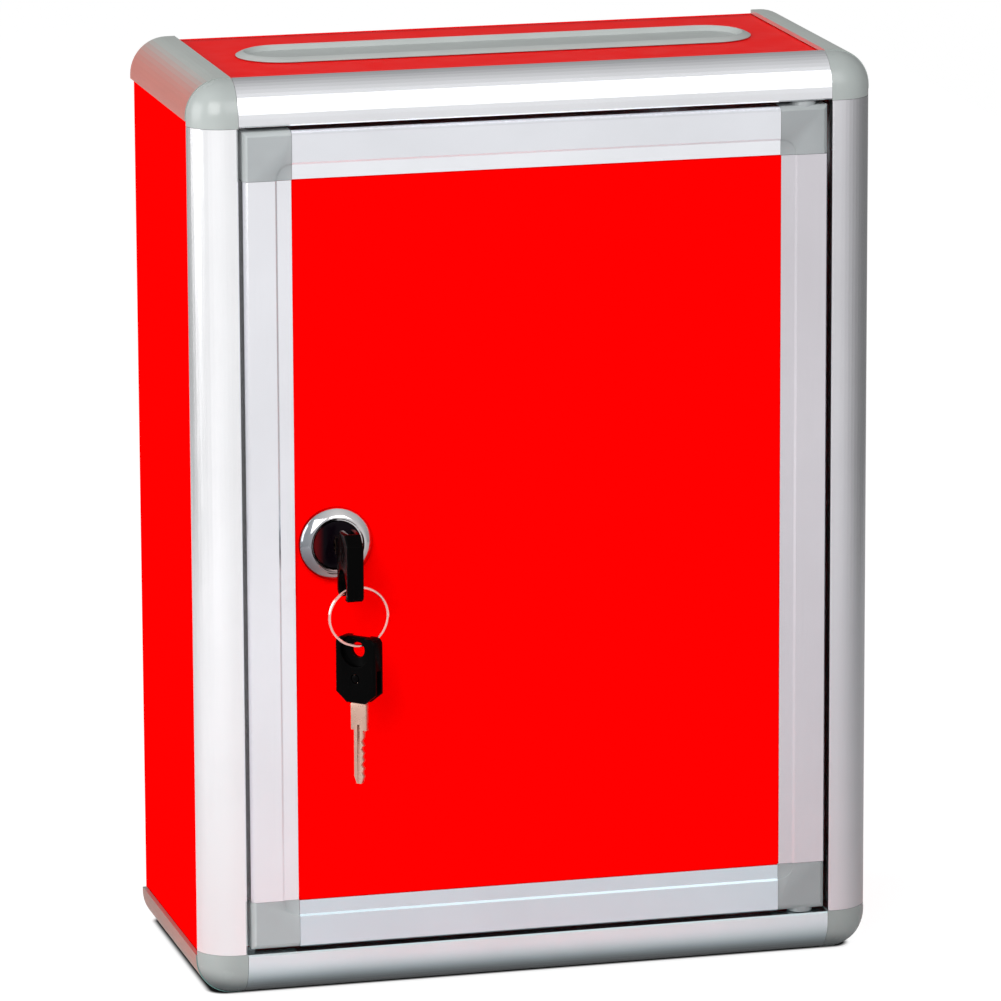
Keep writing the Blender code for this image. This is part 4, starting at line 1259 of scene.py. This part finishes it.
@dataclass
class Studio:
    """The floor, the lamps, the world and the camera."""

    floor_width: float = 1.30
    floor_front: float = -0.62
    floor_back: float = 5.0
    floor_drop: float = 0.0002
    floor_roughness: float = 0.9
    floor_painted_shadow: Triple = (0.02, 0.02, 0.02)
    floor_light: Triple = (0.79, 0.79, 0.80)
    glow_strength: float = 1.25
    glow_share: float = 0.72
    # Where the painted shadow under the box lies, and how far it fades out.
    contact_middle: Triple = (0.0, 0.0217, 0.0)
    contact_half: Triple = (0.1022, 0.04125, 1.0)
    contact_reach: tuple[float, float] = (0.0045, 0.0072)
    sky_bright_side: Triple = (-0.30, -0.85, 0.43)
    sky_tone: Triple = (0.99, 0.995, 1.0)
    sky_stops: Pairs = (
        (0.0, 0.30),
        (0.11, 0.34),
        (0.305, 0.40),
        (0.545, 0.62),
        (0.76, 0.85),
        (0.90, 1.0),
    )
    sky_strength: float = 0.52
    mirrored_sky_strength: float = 0.95
    lamps_aim: Triple = (0.0, 0.0, 0.15)
    camera_place: Triple = (-0.5947, -2.29565, 0.6920)
    camera_turn_deg: Triple = (77.1599, 0.2480, -14.4836)
    lens_mm: float = 268.903
    sensor_mm: float = 36.0
    sight: float = 60.0
    lamps: tuple[Lamp, ...] = (
        Lamp("key_lamp", (-0.80, -1.15, 0.95), size=0.90, power=15.5, colour=(1.0, 0.99, 0.98)),
        Lamp("side_lamp", (-1.60, 0.05, 0.55), size=1.00, power=13.0),
        Lamp("high_lamp", (0.36, -1.30, 1.05), size=0.90, power=7.0, colour=(0.99, 0.99, 1.0)),
    )

    def clear_of_box(self, shader: Shader) -> Socket:
        """Tells how far the floor is clear of the box's rounded underside, under which little light gets and
        a shadow is painted.

        Args:
            shader: the floor's material.

        Returns:
            The socket with 0 under the box and 1 clear of it.
        """
        offset = shader.vector("SUBTRACT", shader.add("TexCoord").outputs["Object"], self.contact_middle)
        past = shader.vector("SUBTRACT", shader.vector("ABSOLUTE", offset), self.contact_half)
        outside = shader.vector("MAXIMUM", past, (0.0, 0.0, 0.0))
        return shader.smooth(shader.vector("LENGTH", outside), *self.contact_reach)

    def floor(self) -> None:
        """A pale floor level with the underside, which the camera sees as white but for the shadow, partly
        painted under the box.
        """
        set_aside()
        middle = (self.floor_front + self.floor_back) / 2
        bpy.ops.mesh.primitive_plane_add(size=1.0, location=(0.0, middle, -self.floor_drop))
        floor = bpy.context.active_object
        floor.name = "floor"
        floor.scale = (self.floor_width, self.floor_back - self.floor_front, 1.0)
        bpy.ops.object.transform_apply(location=True, rotation=False, scale=True)
        shader = Shader("pale_floor")
        shader.set(Roughness=self.floor_roughness, Specular_IOR_Level=0.0)
        # Painted shadow: the floor turns near black and stops glowing under the box's rounded underside.
        away = self.clear_of_box(shader)
        shader.tint(away, self.floor_painted_shadow, self.floor_light, edges=(0.0, 1.0))
        white = shader.add("Emission")
        white.inputs["Strength"].default_value = self.glow_strength
        near = shader.add("Math", operation="MULTIPLY")
        near.inputs[1].default_value = self.glow_share
        share = shader.add("Math", operation="MULTIPLY")
        shader.join(away, near.inputs[0])
        shader.join(shader.seen(), share.inputs[0])
        shader.join(near.outputs[0], share.inputs[1])
        look = shader.mixed(share.outputs[0], shader.surface.outputs[0], white.outputs[0])
        shader.join(look, shader.tree.nodes["Material Output"].inputs["Surface"])
        floor.data.materials.append(shader.material)

    def world(self) -> None:
        """A soft sky, brighter in front, on the left and above, that the camera sees as white."""
        world = bpy.data.worlds.new("studio_world")
        bpy.context.scene.world = world
        world.use_nodes = True
        sky = Nodes(world.node_tree)
        facing = sky.vector("DOT_PRODUCT", sky.add("TexCoord").outputs["Generated"], self.sky_bright_side)
        half = sky.add("Math", operation="MULTIPLY_ADD")
        half.inputs[1].default_value = 0.5
        half.inputs[2].default_value = 0.5
        ramp = sky.add("ValToRGB")
        while len(ramp.color_ramp.elements) < len(self.sky_stops):
            ramp.color_ramp.elements.new(0.5)
        for element, (position, value) in zip(ramp.color_ramp.elements, self.sky_stops):
            element.position = position
            element.color = (*shade(self.sky_tone, value), 1.0)
        strength = sky.add("MapRange")
        strength.inputs["To Min"].default_value = self.sky_strength
        strength.inputs["To Max"].default_value = self.mirrored_sky_strength
        light = sky.tree.nodes["Background"]
        white = sky.add("Background")
        white.inputs["Color"].default_value = (*EVEN, 1.0)
        sky.join(facing, half.inputs[0])
        sky.join(half.outputs[0], ramp.inputs["Fac"])
        sky.join(ramp.outputs["Color"], light.inputs["Color"])
        sky.join(sky.add("LightPath").outputs["Is Glossy Ray"], strength.inputs["Value"])
        sky.join(strength.outputs["Result"], light.inputs["Strength"])
        look = sky.mixed(sky.seen(), light.outputs[0], white.outputs[0])
        sky.join(look, sky.tree.nodes["World Output"].inputs["Surface"])

    def hang(self, lamp: Lamp) -> None:
        """Puts up a lamp that faces the middle of the box.

        Args:
            lamp: its sizes.
        """
        data = bpy.data.lights.new(lamp.name, "AREA")
        data.shape = "SQUARE"
        data.size = lamp.size
        data.energy = lamp.power
        data.color = lamp.colour
        piece = bpy.data.objects.new(lamp.name, data)
        bpy.context.scene.collection.objects.link(piece)
        piece.location = lamp.place
        aim = Vector(self.lamps_aim) - Vector(lamp.place)
        piece.rotation_euler = aim.to_track_quat("-Z", "Y").to_euler()

    def camera(self) -> None:
        """The camera, where the photograph was taken from."""
        data = bpy.data.cameras.new("camera")
        data.sensor_width = self.sensor_mm
        data.lens = self.lens_mm
        data.clip_end = self.sight
        camera = bpy.data.objects.new("camera", data)
        bpy.context.scene.collection.objects.link(camera)
        camera.location = self.camera_place
        camera.rotation_euler = [math.radians(angle) for angle in self.camera_turn_deg]
        bpy.context.scene.camera = camera

    def build(self) -> None:
        """Sets up the studio."""
        self.floor()
        self.world()
        for lamp in self.lamps:
            self.hang(lamp)
        self.camera()
        bpy.context.scene.view_settings.view_transform = "Standard"


def write_sizes() -> None:
    """Updates the view layer."""
    bpy.context.view_layer.update()


def main() -> None:
    """Builds the visual model in order."""
    logging.basicConfig(level=logging.INFO, format="%(message)s")
    Carcass().build()
    Door().build()
    LockAndKeys().build()
    Studio().build()
    write_sizes()


if __name__ == "__main__":
    main()
